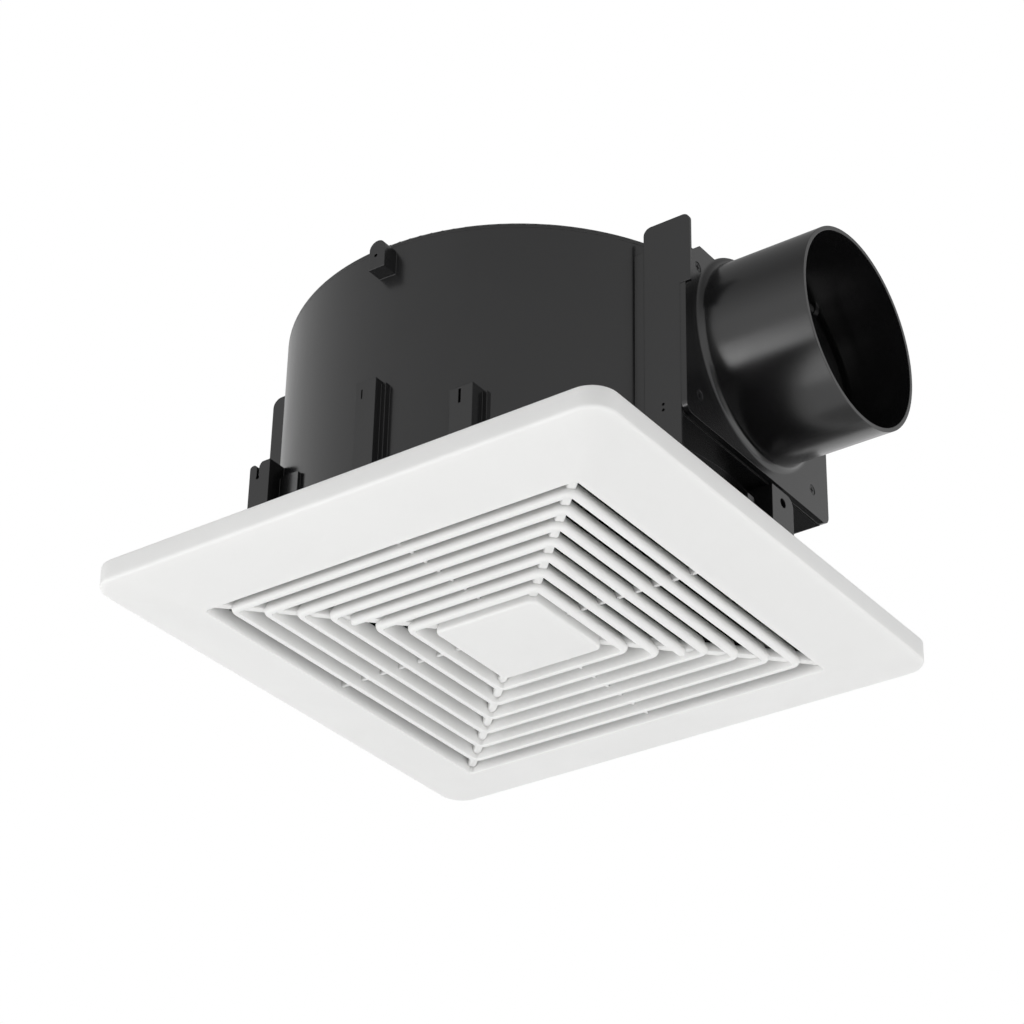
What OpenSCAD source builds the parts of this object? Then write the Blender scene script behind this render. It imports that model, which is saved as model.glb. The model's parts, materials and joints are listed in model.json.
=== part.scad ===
// Ceiling exhaust fan: round black fan housing with a side duct outlet, above a white square grille.
// The origin is the centre of the ceiling screws, on the ceiling's underside. +X is the way the air leaves,
// +Z is up into the ceiling, and the grille hangs below z = 0.

/* [Grille] */
// Side of the square grille
grille_w = 285; // [280:1:300]
// Height of the grille below the ceiling
grille_h = 18; // [17:0.5:22]
// How far the rim rises from the opening to the outer edge
rim_rise = 7; // [4:0.5:8]
// Radius of the grille's upright corners
grille_corner_r = 12.5; // [8:0.5:18]
// Wall of the grille moulding
grille_wall = 2.4; // [1.8:0.1:2.8]
// Side of the square opening that holds the slats
opening_w = 208; // [200:1:212]
// Side of the square panel in the middle
panel_w = 57.2; // [50:0.2:62]
// Corner radius of the middle panel
panel_corner_r = 4; // [2:0.5:8]
// Number of slats on the two far sides; the two near sides have one more
far_slats = 6; // [5:1:6]
// Number of whole slats outside the odd one, which runs along the near sides only
slats_outside_odd = 4; // [3:1:4]
// Width of a slat's lower edge
slat_w = 3.8; // [3:0.1:4.4]
// Thickness of a slat at its top
slat_top_w = 2.2; // [1.6:0.1:2.6]
// Height of a slat
slat_h = 8.4; // [6:0.2:9]
// How far a slat leans towards the middle on its way up
slat_lean = 2.4; // [1:0.1:3]
// How far the slats' lower edges lie above the face
slat_recess = 0.5; // [0.2:0.1:1]
// Gap between the opening's edge and the first slat on the near sides
near_first_gap = 6; // [5:0.1:7]
// Gap between the last slat and the panel on the near sides
near_last_gap = 5.3; // [4.5:0.1:6.5]
// Gap between the opening's edge and the first slat on the far sides
far_first_gap = 7.6; // [6.5:0.1:8.5]
// Gap between the last slat and the panel on the far sides
far_last_gap = 7.3; // [6:0.1:8.5]
// Thickness of the ribs that cross the slats' sides
rib_t = 1.6; // [1.2:0.1:2.4]
// Thickness of the ribs along the diagonals
corner_rib_t = 3.2; // [2:0.1:4]
// How far the ribs lie above the slats' lower edges
rib_recess = 3; // [2:0.5:4]

/* [Hairpin springs] */
// Radius of the spring wire
wire_r = 0.8; // [0.6:0.05:1]
// Distance between the middles of a spring's two legs
leg_span = 6; // [5:0.1:6.4]
// Height of the spring's tips above the ceiling
leg_top = 51; // [45:1:54]
// How far the grille pulls down
grille_drop = 40; // [25:1:45]

/* [Housing flange] */
// Thickness of the flange that lies against the ceiling
flange_t = 2.5; // [2:0.1:3.5]
// Gap between the flange's edge and the grille's skirt
flange_clear = 2.1; // [1.5:0.1:4]
// Distance between the ceiling screws along X
ceiling_screws_x = 140; // [110:1:180]
// How far the ceiling screws stand in from the flange's edge
ceiling_screw_inset = 6.5; // [5:0.5:8]
// Radius of the ceiling screw holes
ceiling_screw_r = 2.3; // [1.8:0.1:3]

/* [Drum] */
// Outer radius of the drum
drum_r = 117; // [115:0.5:119]
// Wall of the drum
drum_wall = 2.4; // [2:0.1:3]
// Height of the drum's top above the ceiling
drum_h = 139; // [137:0.5:150]
// Thickness of the lid
lid_t = 3; // [2.5:0.1:4]
// Radius of the lid's rounded edge
lid_edge_r = 1.8; // [0.5:0.1:2.2]
// Radius of the pillars inside the drum
pillar_r = 4.5; // [4:0.1:5]

/* [Drum channels] */
// Wall of the hollow channels on the drum
channel_wall = 1.7; // [1.2:0.1:2]
// Height of the channel that takes a spring
spring_channel_h = 60; // [56:1:70]
// Width of the channel that takes a spring
spring_channel_w = 11.5; // [11:0.1:13]
// How far the spring channel's face stands out from the drum's radius
spring_channel_out = 7; // [6.5:0.1:9]
// Height of the plain channel
side_channel_h = 46.5; // [40:0.5:60]
// Height of the notched channel
notched_channel_h = 54.6; // [45:0.2:60]

/* [Outlet box] */
// Width of the outlet box
outlet_w = 119; // [116:0.5:122]
// How far the outlet box's middle lies off the drum's axis
outlet_shift = 3.5; // [2:0.5:5]
// Height of the outlet box's underside above the ceiling
outlet_floor = 34; // [33.5:0.5:38]
// Height of the outlet box
outlet_h = 95; // [92:0.5:98]
// How far the outlet box's open end stands out from the drum
outlet_out = 10; // [8:0.5:13]
// Wall of the outlet box
outlet_wall = 2.5; // [2:0.1:3]

/* [Side bracket] */
// Thickness of the side bracket
bracket_t = 1.5; // [1.2:0.1:3.5]
// Height of the side bracket's top above the ceiling
bracket_top = 140.6; // [134:0.2:150]
// Width of the side bracket below its step
bracket_w = 19.5; // [18:0.5:22]
// Height of the step in the bracket's front edge
bracket_step_z = 103; // [98:1:110]
// Radius of the bracket's top corners
bracket_corner_r = 4; // [2:0.5:8]

/* [Duct adaptor] */
// Thickness of the gasket between outlet box and adaptor
gasket_t = 1; // [0.6:0.1:1.5]
// Thickness of the adaptor plate
plate_t = 3; // [2.5:0.1:4]
// Outer radius of the duct pipe
pipe_r = 49.5; // [47.5:0.1:50]
// Wall of the duct pipe
pipe_wall = 2; // [1.6:0.1:2.4]
// Length of the pipe in front of the plate
pipe_len = 55; // [50:1:70]
// Height of the pipe's axis above the ceiling
pipe_z = 90; // [88:0.5:91]
// How far the pipe's axis lies off the drum's axis
pipe_shift = 3; // [1:0.5:5]
// Radius of the fillet at the pipe's root
root_fillet = 3.5; // [2:0.5:4]

/* [Damper] */
// Radius of the damper flap
flap_r = 43.5; // [42:0.1:44]
// Thickness of the damper flap
flap_t = 1.5; // [1:0.1:2]
// Height of the damper pin above the pipe's axis
pin_rise = 38; // [36:0.5:38]
// Distance of the damper pin from the adaptor plate
pin_x = 17; // [15:0.5:22]
// Lean of the closed flap, its lower edge outward
flap_lean = 7; // [4:0.5:9]
// Radius of the damper pin
pin_r = 1.25; // [1:0.05:1.5]
// Thickness of the damper's foam seal
seal_t = 2; // [1.5:0.1:2.4]
// How far the damper opens
flap_swing = 40; // [25:1:40]

/* [Fan chamber] */
// Height of the chamber floor above the ceiling
floor_z = 33; // [32:0.5:33.5]
// Thickness of the inlet ring
ring_t = 2.4; // [2:0.1:3]
// Radius of the inlet ring's throat
throat_r = 61; // [58:0.5:62]
// Radius of the inlet ring's rounded mouth
mouth_r = 13; // [12:0.5:14]
// Gap between the impeller and the scroll's start
scroll_tongue_gap = 9; // [7:0.5:11]
// Gap between the scroll's end and the drum's wall
scroll_end_gap = 0.6; // [0.4:0.1:6]
// Thickness of the scroll wall
scroll_t = 2; // [1.4:0.1:2.2]

/* [Impeller] */
// Outer radius of the impeller
wheel_r = 75; // [72:0.5:77]
// Radial depth of a blade
blade_depth = 12; // [9:0.5:14]
// Number of blades
blades = 40; // [30:1:44]
// Thickness of a blade
blade_t = 1.2; // [0.8:0.1:1.6]
// Angle by which a blade's tip leads its root
blade_sweep = 8; // [4:0.5:11]
// Gap between the impeller and the lid
wheel_lid_gap = 22; // [21:0.5:25]
// Thickness of the impeller's rings and hub disc
wheel_t = 2; // [1.6:0.1:2.4]

/* [Motor] */
// Radius of the motor
motor_r = 44; // [40:0.5:45]
// Height of the motor
motor_h = 40; // [38:0.5:41]
// Sheet thickness of the motor shells
shell_t = 1.2; // [1:0.1:1.5]
// Radius of the motor shaft
shaft_r = 3; // [2.5:0.1:4]
// Height of the stator core
core_h = 18; // [14:0.5:20]
// Radius of the rotor core
rotor_r = 24.6; // [20:0.2:26]
// Height of one winding head
winding_h = 4.4; // [3:0.1:4.6]
// Distance of the motor screws from the axis
motor_screw_pcd_r = 52; // [51:0.5:54]
// Radius of the motor lead
lead_r = 1.75; // [1.2:0.05:1.8]

/* [Wiring box] */
// Inner width of the wiring box
wiring_w = 80; // [74:0.5:82]
// Wall of the wiring box
wiring_wall = 2; // [1.6:0.1:2.4]
// How far the wiring box's back wall lies inside the drum's radius
wiring_depth_in = 14; // [13:0.1:14.5]
// How far the wiring box's outer edge stands out from the drum
wiring_out = 9.5; // [8:0.5:12]
// Height of the wiring box's underside above the ceiling
wiring_floor = 44; // [40:1:50]
// Height of its side plates' top above the ceiling
wiring_top = 139.5; // [137:0.5:144]
// Radius of the side plates' outer corners
wiring_corner_r = 5; // [2:0.5:8]
// Thickness of the wiring box's cover
wiring_cover_t = 2.5; // [2:0.1:3]
// Inner radius of the cable bush
cable_r = 3.5; // [2.5:0.1:4]

/* [Screws] */
// Radius of a screw's thread
screw_r = 1.75; // [1.4:0.05:1.9]
// Radius of a screw's head
head_r = 3.2; // [2.8:0.1:3.5]
// Height of a screw's head
head_h = 2; // [1.5:0.1:2.2]
// Radius of the adaptor screws' countersunk heads
sunk_head_r = 2.6; // [2.2:0.1:3.2]

/* [Hidden] */
$fn = 64;
joint_fit = 0.02;
sliding_fit = 0.1;
screw_fit = 0.05;
clear = 0.3;
cut = 1;

housing_black = [0.09, 0.09, 0.10];
grille_white = [0.95, 0.95, 0.94];
wheel_grey = [0.24, 0.24, 0.26];
steel = [0.66, 0.67, 0.69];
zinc = [0.72, 0.72, 0.68];
copper = [0.72, 0.38, 0.20];
rubber_black = [0.05, 0.05, 0.05];

lid_bite = 3.4 * screw_r;
ring_bite = 5 * screw_r;
motor_bite = 5 * screw_r;
wiring_bite = 6 * screw_r;
adaptor_bite = 7 * screw_r;
hole_spare = 3;
sunk = 0.2;
sunk_head_h = 1.4;

face_z = -grille_h;
opening_half = opening_w / 2;
panel_half = panel_w / 2;
grille_half = grille_w / 2;
rim_w = grille_half - opening_half;
rim_outer_z = face_z + rim_rise;
lip_t = 2;
slat_z = face_z + slat_recess;
slat_span = opening_half - panel_half;
near_slats = far_slats + 1;
near_pitch = (slat_span - near_first_gap - near_last_gap - slat_w) / (near_slats - 1);
far_pitch = (slat_span - far_first_gap - far_last_gap - slat_w) / (far_slats - 1);
slat_corner_r = slat_lean + slat_top_w + 0.4;
cross_rib_shift = [4, -2];

flange_half = grille_half - grille_wall - flange_clear;
flange_corner_r = max(grille_corner_r - grille_wall - flange_clear, 2);
foot_limit = flange_half - 2;
ceiling_screw_y = flange_half - ceiling_screw_inset;

bore_r = drum_r - drum_wall;
lid_z = drum_h - lid_t;
outlet_reach = drum_r + outlet_out;
wiring_back = drum_r - wiring_depth_in;
wiring_reach = drum_r + wiring_out;
pillar_place_r = bore_r + 0.4 - pillar_r;
pillar_angles = [60, 130, 212];
short_pillar_angle = 340;
short_pillar_h = 8;
pillar_top = lid_z - clear;

spring_x = 1.75;
spring_y = drum_r + channel_wall + wire_r;
rim_back_z = face_z + rim_rise / rim_w * (spring_y - opening_half) + grille_wall;
spring_bar_z = rim_back_z + 2.5;
boss_half = leg_span / 2 - wire_r - 0.4;

outlet_y0 = outlet_shift - outlet_w / 2;
outlet_y1 = outlet_shift + outlet_w / 2;
outlet_top = outlet_floor + outlet_h;

plate_x = outlet_reach + gasket_t;
face_x = plate_x + plate_t;
mouth_x = face_x + pipe_len;
pipe_in_r = pipe_r - pipe_wall;
plate_side = 1.5;
plate_far_side = 3.3;
plate_top = outlet_top + 1;
plate_corner_r = 5;
adaptor_screw_y = outlet_w / 2 - 10.5;
adaptor_screw_low = 13;
adaptor_screw_high = outlet_h - 12;

flap_x = face_x + pin_x;
flap_z = pipe_z + pin_rise;
flap_drop = pin_rise / cos(flap_lean);
barrel_r = pin_r + 1.35;
ear_r = pin_r + 1.95;
ear_y = 23.2;
ear_t = 2.8;
seat_t = 2.5;
seat_in_r = flap_r - 4;

ring_z = floor_z - ring_t;
mouth_centre_z = ring_z + mouth_r;
scroll_start = 40;
scroll_end = 331;
scroll_power = 1.5;
scroll_r_start = wheel_r + scroll_tongue_gap;
scroll_r_end = bore_r - scroll_end_gap - scroll_t;
scroll_top = lid_z - 0.5;

wheel_z = mouth_centre_z - 2.6;
wheel_top = lid_z - wheel_lid_gap;
wheel_h = wheel_top - wheel_z;
wheel_in_r = throat_r + ring_t + 1.6;
lip_gap = 1.4;
blade_in_r = wheel_r - 0.5 - blade_depth;

motor_top = lid_z - 8;
motor_z = motor_top - motor_h;
motor_split = motor_z + motor_h * 0.7;
disc_z = motor_z - 6;
disc_top = disc_z + wheel_t;
dish_r = motor_r + 5.5;
hub_r = shaft_r + 6;
insert_r = shaft_r + 2;
hub_z = disc_z - 8;
nut_h = 5;
shaft_z = hub_z - nut_h - 1;
bearing_r = shaft_r + 5;
bearing_h = 5;
core_z = motor_z + (motor_h - core_h) / 2 + 0.4;
core_r = motor_r - shell_t;
ear_z = motor_split + 5.2;
ear_plate_t = 1.6;
motor_ear_r = 6.5;
motor_ear_angles = [30, 150, 270];
grommet_neck_r = 3.8;
grommet_flange_r = 5.6;
grommet_flange_t = 2;

lead_z = lid_z - 5;
lead_bend_r = 5;
lead_out_x = -(motor_r - 14);
lead_in_x = -(wiring_back + 7);
clip_places = [-62, -84];

wiring_half = wiring_w / 2;
wiring_inner_top = lid_z - 1.2;
back_wall = 1.5;
wiring_boss_r = 4;
wiring_cover_x = wiring_reach - 0.5;
wiring_boss_y = wiring_half - 7;
bush_r = cable_r + 1.6;
bush_flange_r = bush_r + 1.4;
cable_x = wiring_cover_x - wiring_cover_t - bush_flange_r - 0.4;
cable_z = wiring_floor + 16;
block_h = 20;
block_top = 104;

// Shared shapes

// Rectangle with round corners, centred
module rounded_outline(w, d, r) {
  square([w - 2 * r, d], center = true);
  square([w, d - 2 * r], center = true);
  for (sx = [-1, 1], sy = [-1, 1])
    translate([sx * (w / 2 - r), sy * (d / 2 - r)]) circle(r);
}

// Upright block with round corners, from z = 0
module rounded_block(w, d, h, r) {
  linear_extrude(h) rounded_outline(w, d, r);
}

// Box between two corners
module span_box(a, b) {
  translate(a) cube([b[0] - a[0], b[1] - a[1], b[2] - a[2]]);
}

// Tube from z = 0
module tube(outer, inner, h) {
  difference() {
    cylinder(r = outer, h = h);
    translate([0, 0, -cut]) cylinder(r = inner, h = h + 2 * cut);
  }
}

// Cross-recess screw, head below z = 0 and thread going up
module screw(length) {
  difference() {
    translate([0, 0, -head_h]) cylinder(r = head_r, h = head_h);
    for (turn = [0, 90])
      rotate(turn) translate([-head_r * 0.55, -0.35, -head_h - cut]) cube([head_r * 1.1, 0.7, cut + 0.8]);
  }
  cylinder(r = screw_r, h = length);
}

// Countersunk cross-recess screw, its head from z = 0 up
module sunk_screw(length) {
  difference() {
    cylinder(r1 = sunk_head_r, r2 = screw_r - screw_fit, h = sunk_head_h);
    for (turn = [0, 90])
      rotate(turn) translate([-head_r * 0.45, -0.3, -cut]) cube([head_r * 0.9, 0.6, cut + 0.7]);
  }
  translate([0, 0, sunk_head_h - 0.4]) cylinder(r = screw_r, h = length - sunk_head_h + 0.4);
}

// Places its children on a circle
module around(r, angles) {
  for (angle = angles) rotate(angle) translate([r, 0, 0]) children();
}

// Grille

// Rounded loop whose sides lie at the given distances: -X, +X, -Y and +Y
function loop_arc(cx, cy, r, from) = [for (i = [0:4]) [cx + r * cos(from + i * 22.5), cy + r * sin(from + i * 22.5)]];
function slat_loop(left, right, near, far, r) = concat(
  loop_arc(right - r, far - r, r, 0),
  loop_arc(-left + r, far - r, r, 90),
  loop_arc(-left + r, -near + r, r, 180),
  loop_arc(right - r, -near + r, r, 270)
);

// Outline of a slat's section: how far outward from its lower outer edge, and how high
slat_round = 0.6;
slat_section = [
  [-slat_round, 0],
  [0, slat_round],
  [-slat_lean, slat_h],
  [-slat_lean - slat_top_w, slat_h],
  [-slat_w, slat_round],
  [-slat_w + slat_round, 0]
];

// Closed slat swept round a rounded rectangle
module ring_slat(near_half, far_half) {
  loops = [
    for (s = slat_section)
      let (r = slat_corner_r + s[0])
        [for (p = slat_loop(far_half + s[0], near_half + s[0], near_half + s[0], far_half + s[0], r))
          [p[0], p[1], slat_z + s[1]]]
  ];
  n = len(loops[0]);
  m = len(loops);
  polyhedron(
    points = [for (loop = loops) each loop],
    faces = [
      for (i = [0:m - 1], j = [0:n - 1])
        [((i + 1) % m) * n + j, ((i + 1) % m) * n + (j + 1) % n, i * n + (j + 1) % n, i * n + j]
    ]
  );
}

// Open slat along the two near sides, which ends clear of the neighbouring rings
module open_slat(near_half, end_half) {
  corner = [
    for (i = [0:4]) let (a = 270 + i * 22.5) [cos(a), sin(a)]
  ];
  stations = concat([[-end_half, -near_half, 0, -1]],
    [for (c = corner) [near_half - slat_corner_r, -near_half + slat_corner_r, c[0], c[1]]],
    [[near_half, end_half, 1, 0]]);
  rings = [
    for (k = [0:len(stations) - 1])
      let (s = stations[k], r = (k == 0 || k == len(stations) - 1) ? 0 : slat_corner_r)
        [for (q = slat_section) [s[0] + s[2] * (r + q[0]), s[1] + s[3] * (r + q[0]), slat_z + q[1]]]
  ];
  m = len(slat_section);
  n = len(rings);
  polyhedron(
    points = [for (ring = rings) each ring],
    faces = concat(
      [[for (i = [0:m - 1]) m - 1 - i]],
      [[for (i = [0:m - 1]) (n - 1) * m + i]],
      [for (k = [0:n - 2], i = [0:m - 1])
        [(k + 1) * m + (i + 1) % m, (k + 1) * m + i, k * m + i, k * m + (i + 1) % m]]
    )
  );
}

function near_edge(k) = opening_half - near_first_gap - k * near_pitch;
function far_edge(k) = opening_half - far_first_gap - k * far_pitch;

module slats() {
  for (k = [0:near_slats - 1])
    if (k != slats_outside_odd)
      ring_slat(near_edge(k), far_edge(k < slats_outside_odd ? k : k - 1));
  open_slat(near_edge(slats_outside_odd), far_edge(slats_outside_odd - 1) - slat_lean - slat_top_w - 1.5);
}

// One of the four mitred sides of the sloping rim, towards +X
module rim_side() {
  rise = rim_rise / rim_w;
  intersection() {
    rotate([90, 0, 0])
      linear_extrude(2 * grille_w, center = true)
        polygon([
          [opening_half, face_z],
          [grille_half + cut, rim_outer_z + rise * cut],
          [grille_half + cut, rim_outer_z + rise * cut + grille_wall],
          [opening_half + lip_t, face_z + rise * lip_t + grille_wall],
          [opening_half + lip_t, slat_z + slat_h],
          [opening_half, slat_z + slat_h]
        ]);
    translate([0, 0, face_z - cut])
      linear_extrude(grille_h + 2 * cut)
        polygon([[0, 0], [grille_w, -grille_w], [grille_w, grille_w]]);
  }
}

module rim() {
  intersection() {
    union() for (turn = [0:90:270]) rotate(turn) rim_side();
    translate([0, 0, face_z - cut]) rounded_block(grille_w, grille_w, grille_h + cut, grille_corner_r);
  }
}

// Upright skirt round the rim
module skirt() {
  inner = grille_w - 2 * grille_wall;
  translate([0, 0, rim_outer_z])
    difference() {
      rounded_block(grille_w, grille_w, -rim_outer_z, grille_corner_r);
      translate([0, 0, -cut]) rounded_block(inner, inner, -rim_outer_z + 2 * cut, grille_corner_r - grille_wall);
    }
}

// Middle panel: a shallow tray, open on top
module panel() {
  depth = slat_z + slat_h - face_z;
  inner = panel_w - 2 * lip_t;
  translate([0, 0, face_z])
    difference() {
      rounded_block(panel_w, panel_w, depth, panel_corner_r);
      translate([0, 0, grille_wall]) rounded_block(inner, inner, depth, panel_corner_r - lip_t + 0.5);
    }
}

module slat_ribs() {
  bottom = slat_z + rib_recess;
  top = slat_z + slat_h - 0.5;
  reach = opening_half + lip_t / 2;
  start = panel_half - lip_t / 2;
  corner_start = panel_half - panel_corner_r;
  for (corner = [45:90:315])
    rotate(corner)
      span_box([corner_start * sqrt(2), -corner_rib_t / 2, bottom],
        [reach * sqrt(2) - corner_rib_t / 2, corner_rib_t / 2, top]);
  for (turn = [0:90:270])
    let (shift = (turn == 0 || turn == 180) ? cross_rib_shift[1] : cross_rib_shift[0],
      side = (turn == 90 || turn == 180) ? -1 : 1)
      rotate(turn)
        span_box([start, side * shift - rib_t / 2, bottom], [reach, side * shift + rib_t / 2, top]);
}

// Block on the rim's back that holds the bar of a hairpin spring
module spring_boss() {
  difference() {
    span_box([-boss_half, -2.4, rim_back_z - grille_wall / 2 - 0.4], [boss_half, 2.4, spring_bar_z + wire_r + 2]);
    translate([-boss_half - cut, 0, spring_bar_z])
      rotate([0, 90, 0]) cylinder(r = wire_r + screw_fit, h = 2 * boss_half + 2 * cut);
  }
}

module grille() {
  color(grille_white) {
    rim();
    skirt();
    panel();
    slats();
    slat_ribs();
    for (side = [-1, 1]) translate([spring_x, side * spring_y, 0]) spring_boss();
  }
}

// Hairpin: a bar through the grille's boss, two bends and two legs that run up the housing's channel
module hairpin() {
  bend_r = 1.4;
  leg_x = leg_span / 2;
  tip_r = 50;
  tip_turn = 8;
  straight_top = leg_top - tip_r * sin(tip_turn) - spring_bar_z;
  translate([0, 0, spring_bar_z]) {
    translate([-leg_x + bend_r, 0, 0]) rotate([0, 90, 0]) cylinder(r = wire_r, h = 2 * (leg_x - bend_r));
    for (side = [0, 1])
      mirror([side, 0, 0]) {
        translate([leg_x - bend_r, 0, bend_r])
          rotate([90, 0, 0]) rotate(270) rotate_extrude(angle = 90) translate([bend_r, 0]) circle(wire_r);
        translate([leg_x, 0, bend_r]) cylinder(r = wire_r, h = straight_top - bend_r);
        translate([leg_x - tip_r, 0, straight_top])
          rotate([90, 0, 0]) rotate_extrude(angle = tip_turn) translate([tip_r, 0]) circle(wire_r);
      }
  }
}

module spring_front() {
  color(steel) translate([spring_x, -spring_y, 0]) hairpin();
}

module spring_rear() {
  color(steel) translate([spring_x, spring_y, 0]) hairpin();
}

// Housing

// Outline of the channels on the front half of the drum: x range, distance of the face, height, slot
spring_face = drum_r + spring_channel_out;
spring_channel = [spring_x - spring_channel_w / 2, spring_x + spring_channel_w / 2, spring_face, spring_channel_h];
side_x = drum_r * 0.353;
side_channel = [side_x, side_x + 12.7, drum_r - 4, side_channel_h];
notched_x = -drum_r * 0.714;
notched_channel = [notched_x, notched_x + 12, drum_r - 14, notched_channel_h];
pad_out = 1.8;
pad_end = notched_x + 34.4;
pad_top = [51.6, 37.4];
stud_place = [notched_x + 28, 13.5 - drum_r];
stud_r = 4.5;
stud_h = 15;

// Solid of one channel on the -Y side, from the ceiling up and back into the drum's wall
module channel_block(c) {
  span_box([c[0], -c[2], -flange_t / 2], [c[1], -bore_r * 0.72, c[3]]);
}

// Hollow of one channel, open at the ceiling
module channel_hollow(c) {
  difference() {
    span_box([c[0] + channel_wall, -c[2] + channel_wall, -flange_t - cut],
      [c[1] - channel_wall, -bore_r * 0.72, c[3] - channel_wall]);
    translate([0, 0, -flange_t - 2 * cut]) cylinder(r = drum_r + 0.2, h = drum_h);
  }
}

// Low ridge beside a channel
module channel_ridge(c, out) {
  span_box([c[1] - 0.1, -c[2] + out, 0], [c[1] + 2.5, -bore_r * 0.72, c[3] - 1.5]);
}

// What is cut from the front of the notched channel: two rounded horns stay, with a keyhole slit between them
module notch_cut() {
  x = notched_channel[0];
  h = notched_channel_h;
  depth = 6;
  slit = [x + 4.2, x + 5.6, h - 8];
  horn_r = 2.2;
  shoulder_r = 3.2;
  translate([0, depth - notched_channel[2], 0])
    rotate([90, 0, 0])
      linear_extrude(2 * depth)
        union() {
          translate([(slit[0] + slit[1]) / 2, slit[2]]) circle(1);
          difference() {
            translate([x - 1, slit[2]]) square([14, 9]);
            translate([x - 2, slit[2] - 1]) square([slit[0] - x + 2, 1 + h - 2.9 - slit[2]]);
            translate([slit[0] - horn_r, h - 2.9]) circle(horn_r);
            translate([slit[1], slit[2] - 1]) square([9, 1 + h - 2.9 - slit[2]]);
            translate([slit[1] + shoulder_r, h - 2.9]) circle(shoulder_r);
            translate([slit[1] + shoulder_r, slit[2] - 1]) square([9, 12]);
          }
        }
}

// Raised pad that follows the drum beside the notched channel, its top falling away from it
module wall_pad() {
  intersection() {
    translate([0, 0, -flange_t / 2]) cylinder(r = drum_r + pad_out, h = drum_h / 2);
    translate([0, -bore_r * 0.72, 0])
      rotate([90, 0, 0])
        linear_extrude(drum_r)
          polygon([
            [notched_x + 2, -flange_t],
            [pad_end, -flange_t],
            [pad_end, pad_top[1]],
            [notched_x + 2, pad_top[0] + 0.5]
          ]);
  }
}

// Lug at the drum's upper rim, with a round top and a small hole
module rim_lug() {
  lug_x = 5.5;
  lug_r = 4.5;
  out = drum_r + 8.4;
  difference() {
    translate([lug_x, 0, 0])
      rotate([90, 0, 0])
        linear_extrude(out)
          union() {
            translate([-lug_r, lid_z - 16]) square([2 * lug_r, 11]);
            translate([0, lid_z - 5]) circle(lug_r);
          }
    translate([lug_x - 0.7, -out + 3, lid_z - 8.5]) rotate([90, 0, 0]) cylinder(r = 0.9, h = 10);
  }
}

module front_details() {
  channel_block(spring_channel);
  channel_ridge(spring_channel, 4.2);
  channel_block(side_channel);
  channel_ridge(side_channel, 7.5);
  difference() {
    channel_block(notched_channel);
    notch_cut();
  }
  wall_pad();
  translate([stud_place[0], stud_place[1], -flange_t / 2]) {
    cylinder(r = stud_r, h = stud_h);
    translate([0, 0, stud_h]) sphere(stud_r);
  }
  rim_lug();
}

module front_hollows() {
  channel_hollow(spring_channel);
  channel_hollow(side_channel);
  channel_hollow(notched_channel);
  span_box([spring_x - 2.4, -spring_face - cut, spring_channel_h - 9],
    [spring_x - 1.6, -spring_face + channel_wall + 0.5, spring_channel_h - 4]);
  span_box([side_channel[0] + 4.9, -side_channel[2] - cut, side_channel_h - 8.5],
    [side_channel[0] + 6.3, -side_channel[2] + channel_wall + 0.5, side_channel_h - 1]);
}

module outlet_outer() {
  span_box([0, outlet_y0, outlet_floor], [outlet_reach, outlet_y1, outlet_top]);
}

module outlet_inner() {
  span_box([0, outlet_y0 + outlet_wall, outlet_floor + outlet_wall],
    [outlet_reach + cut, outlet_y1 - outlet_wall, outlet_top - outlet_wall]);
}

// Positions of the adaptor's screws as [y, z]
adaptor_screw_places = [
  for (side = [-1, 1], up = [adaptor_screw_low, adaptor_screw_high])
    [outlet_shift - 1 + side * adaptor_screw_y, outlet_floor + up]
];

// Bosses in the corners of the outlet box
module outlet_bosses() {
  length = 22;
  r = pillar_r;
  for (p = adaptor_screw_places)
    let (wall_y = p[0] < outlet_shift ? outlet_y0 + 0.5 : outlet_y1 - 0.5) {
      translate([outlet_reach - length, p[0], p[1]]) rotate([0, 90, 0]) cylinder(r = r, h = length);
      span_box([outlet_reach - length, min(wall_y, p[0]), p[1] - 1.2], [outlet_reach, max(wall_y, p[0]), p[1] + 1.2]);
    }
}

// Lug under the outlet box, with a hole for hanging the fan, and a small one beside it
module hanging_lugs() {
  front = face_x;
  hole_r = 2.4;
  side = 14.5;
  width = 18.5;
  top = outlet_floor - 2;
  corner = 5;
  difference() {
    union() {
      translate([front, 0, 0])
        rotate([90, 0, -90])
          linear_extrude(front - drum_r + 3)
            union() {
              translate([-side - width, clear]) square([width, top - corner - clear]);
              translate([-side - width + corner, clear]) square([width - corner, top - clear]);
              translate([-side - width + corner, top - corner]) circle(corner);
            }
      span_box([drum_r - 3, side, -flange_t / 2], [min(front, foot_limit), side + width, 2 * clear]);
    }
    span_box([drum_r - 4, side + channel_wall, -flange_t - cut],
      [front - plate_t, side + width - channel_wall, top - channel_wall - 0.6]);
    translate([front - plate_t - cut, side + width * 0.51, top - 6]) rotate([0, 90, 0]) cylinder(r = hole_r, h = 10);
  }
  span_box([drum_r - 3, 1, -flange_t / 2], [min(outlet_reach - 1, foot_limit), 6.5, outlet_floor - 12]);
}

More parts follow.
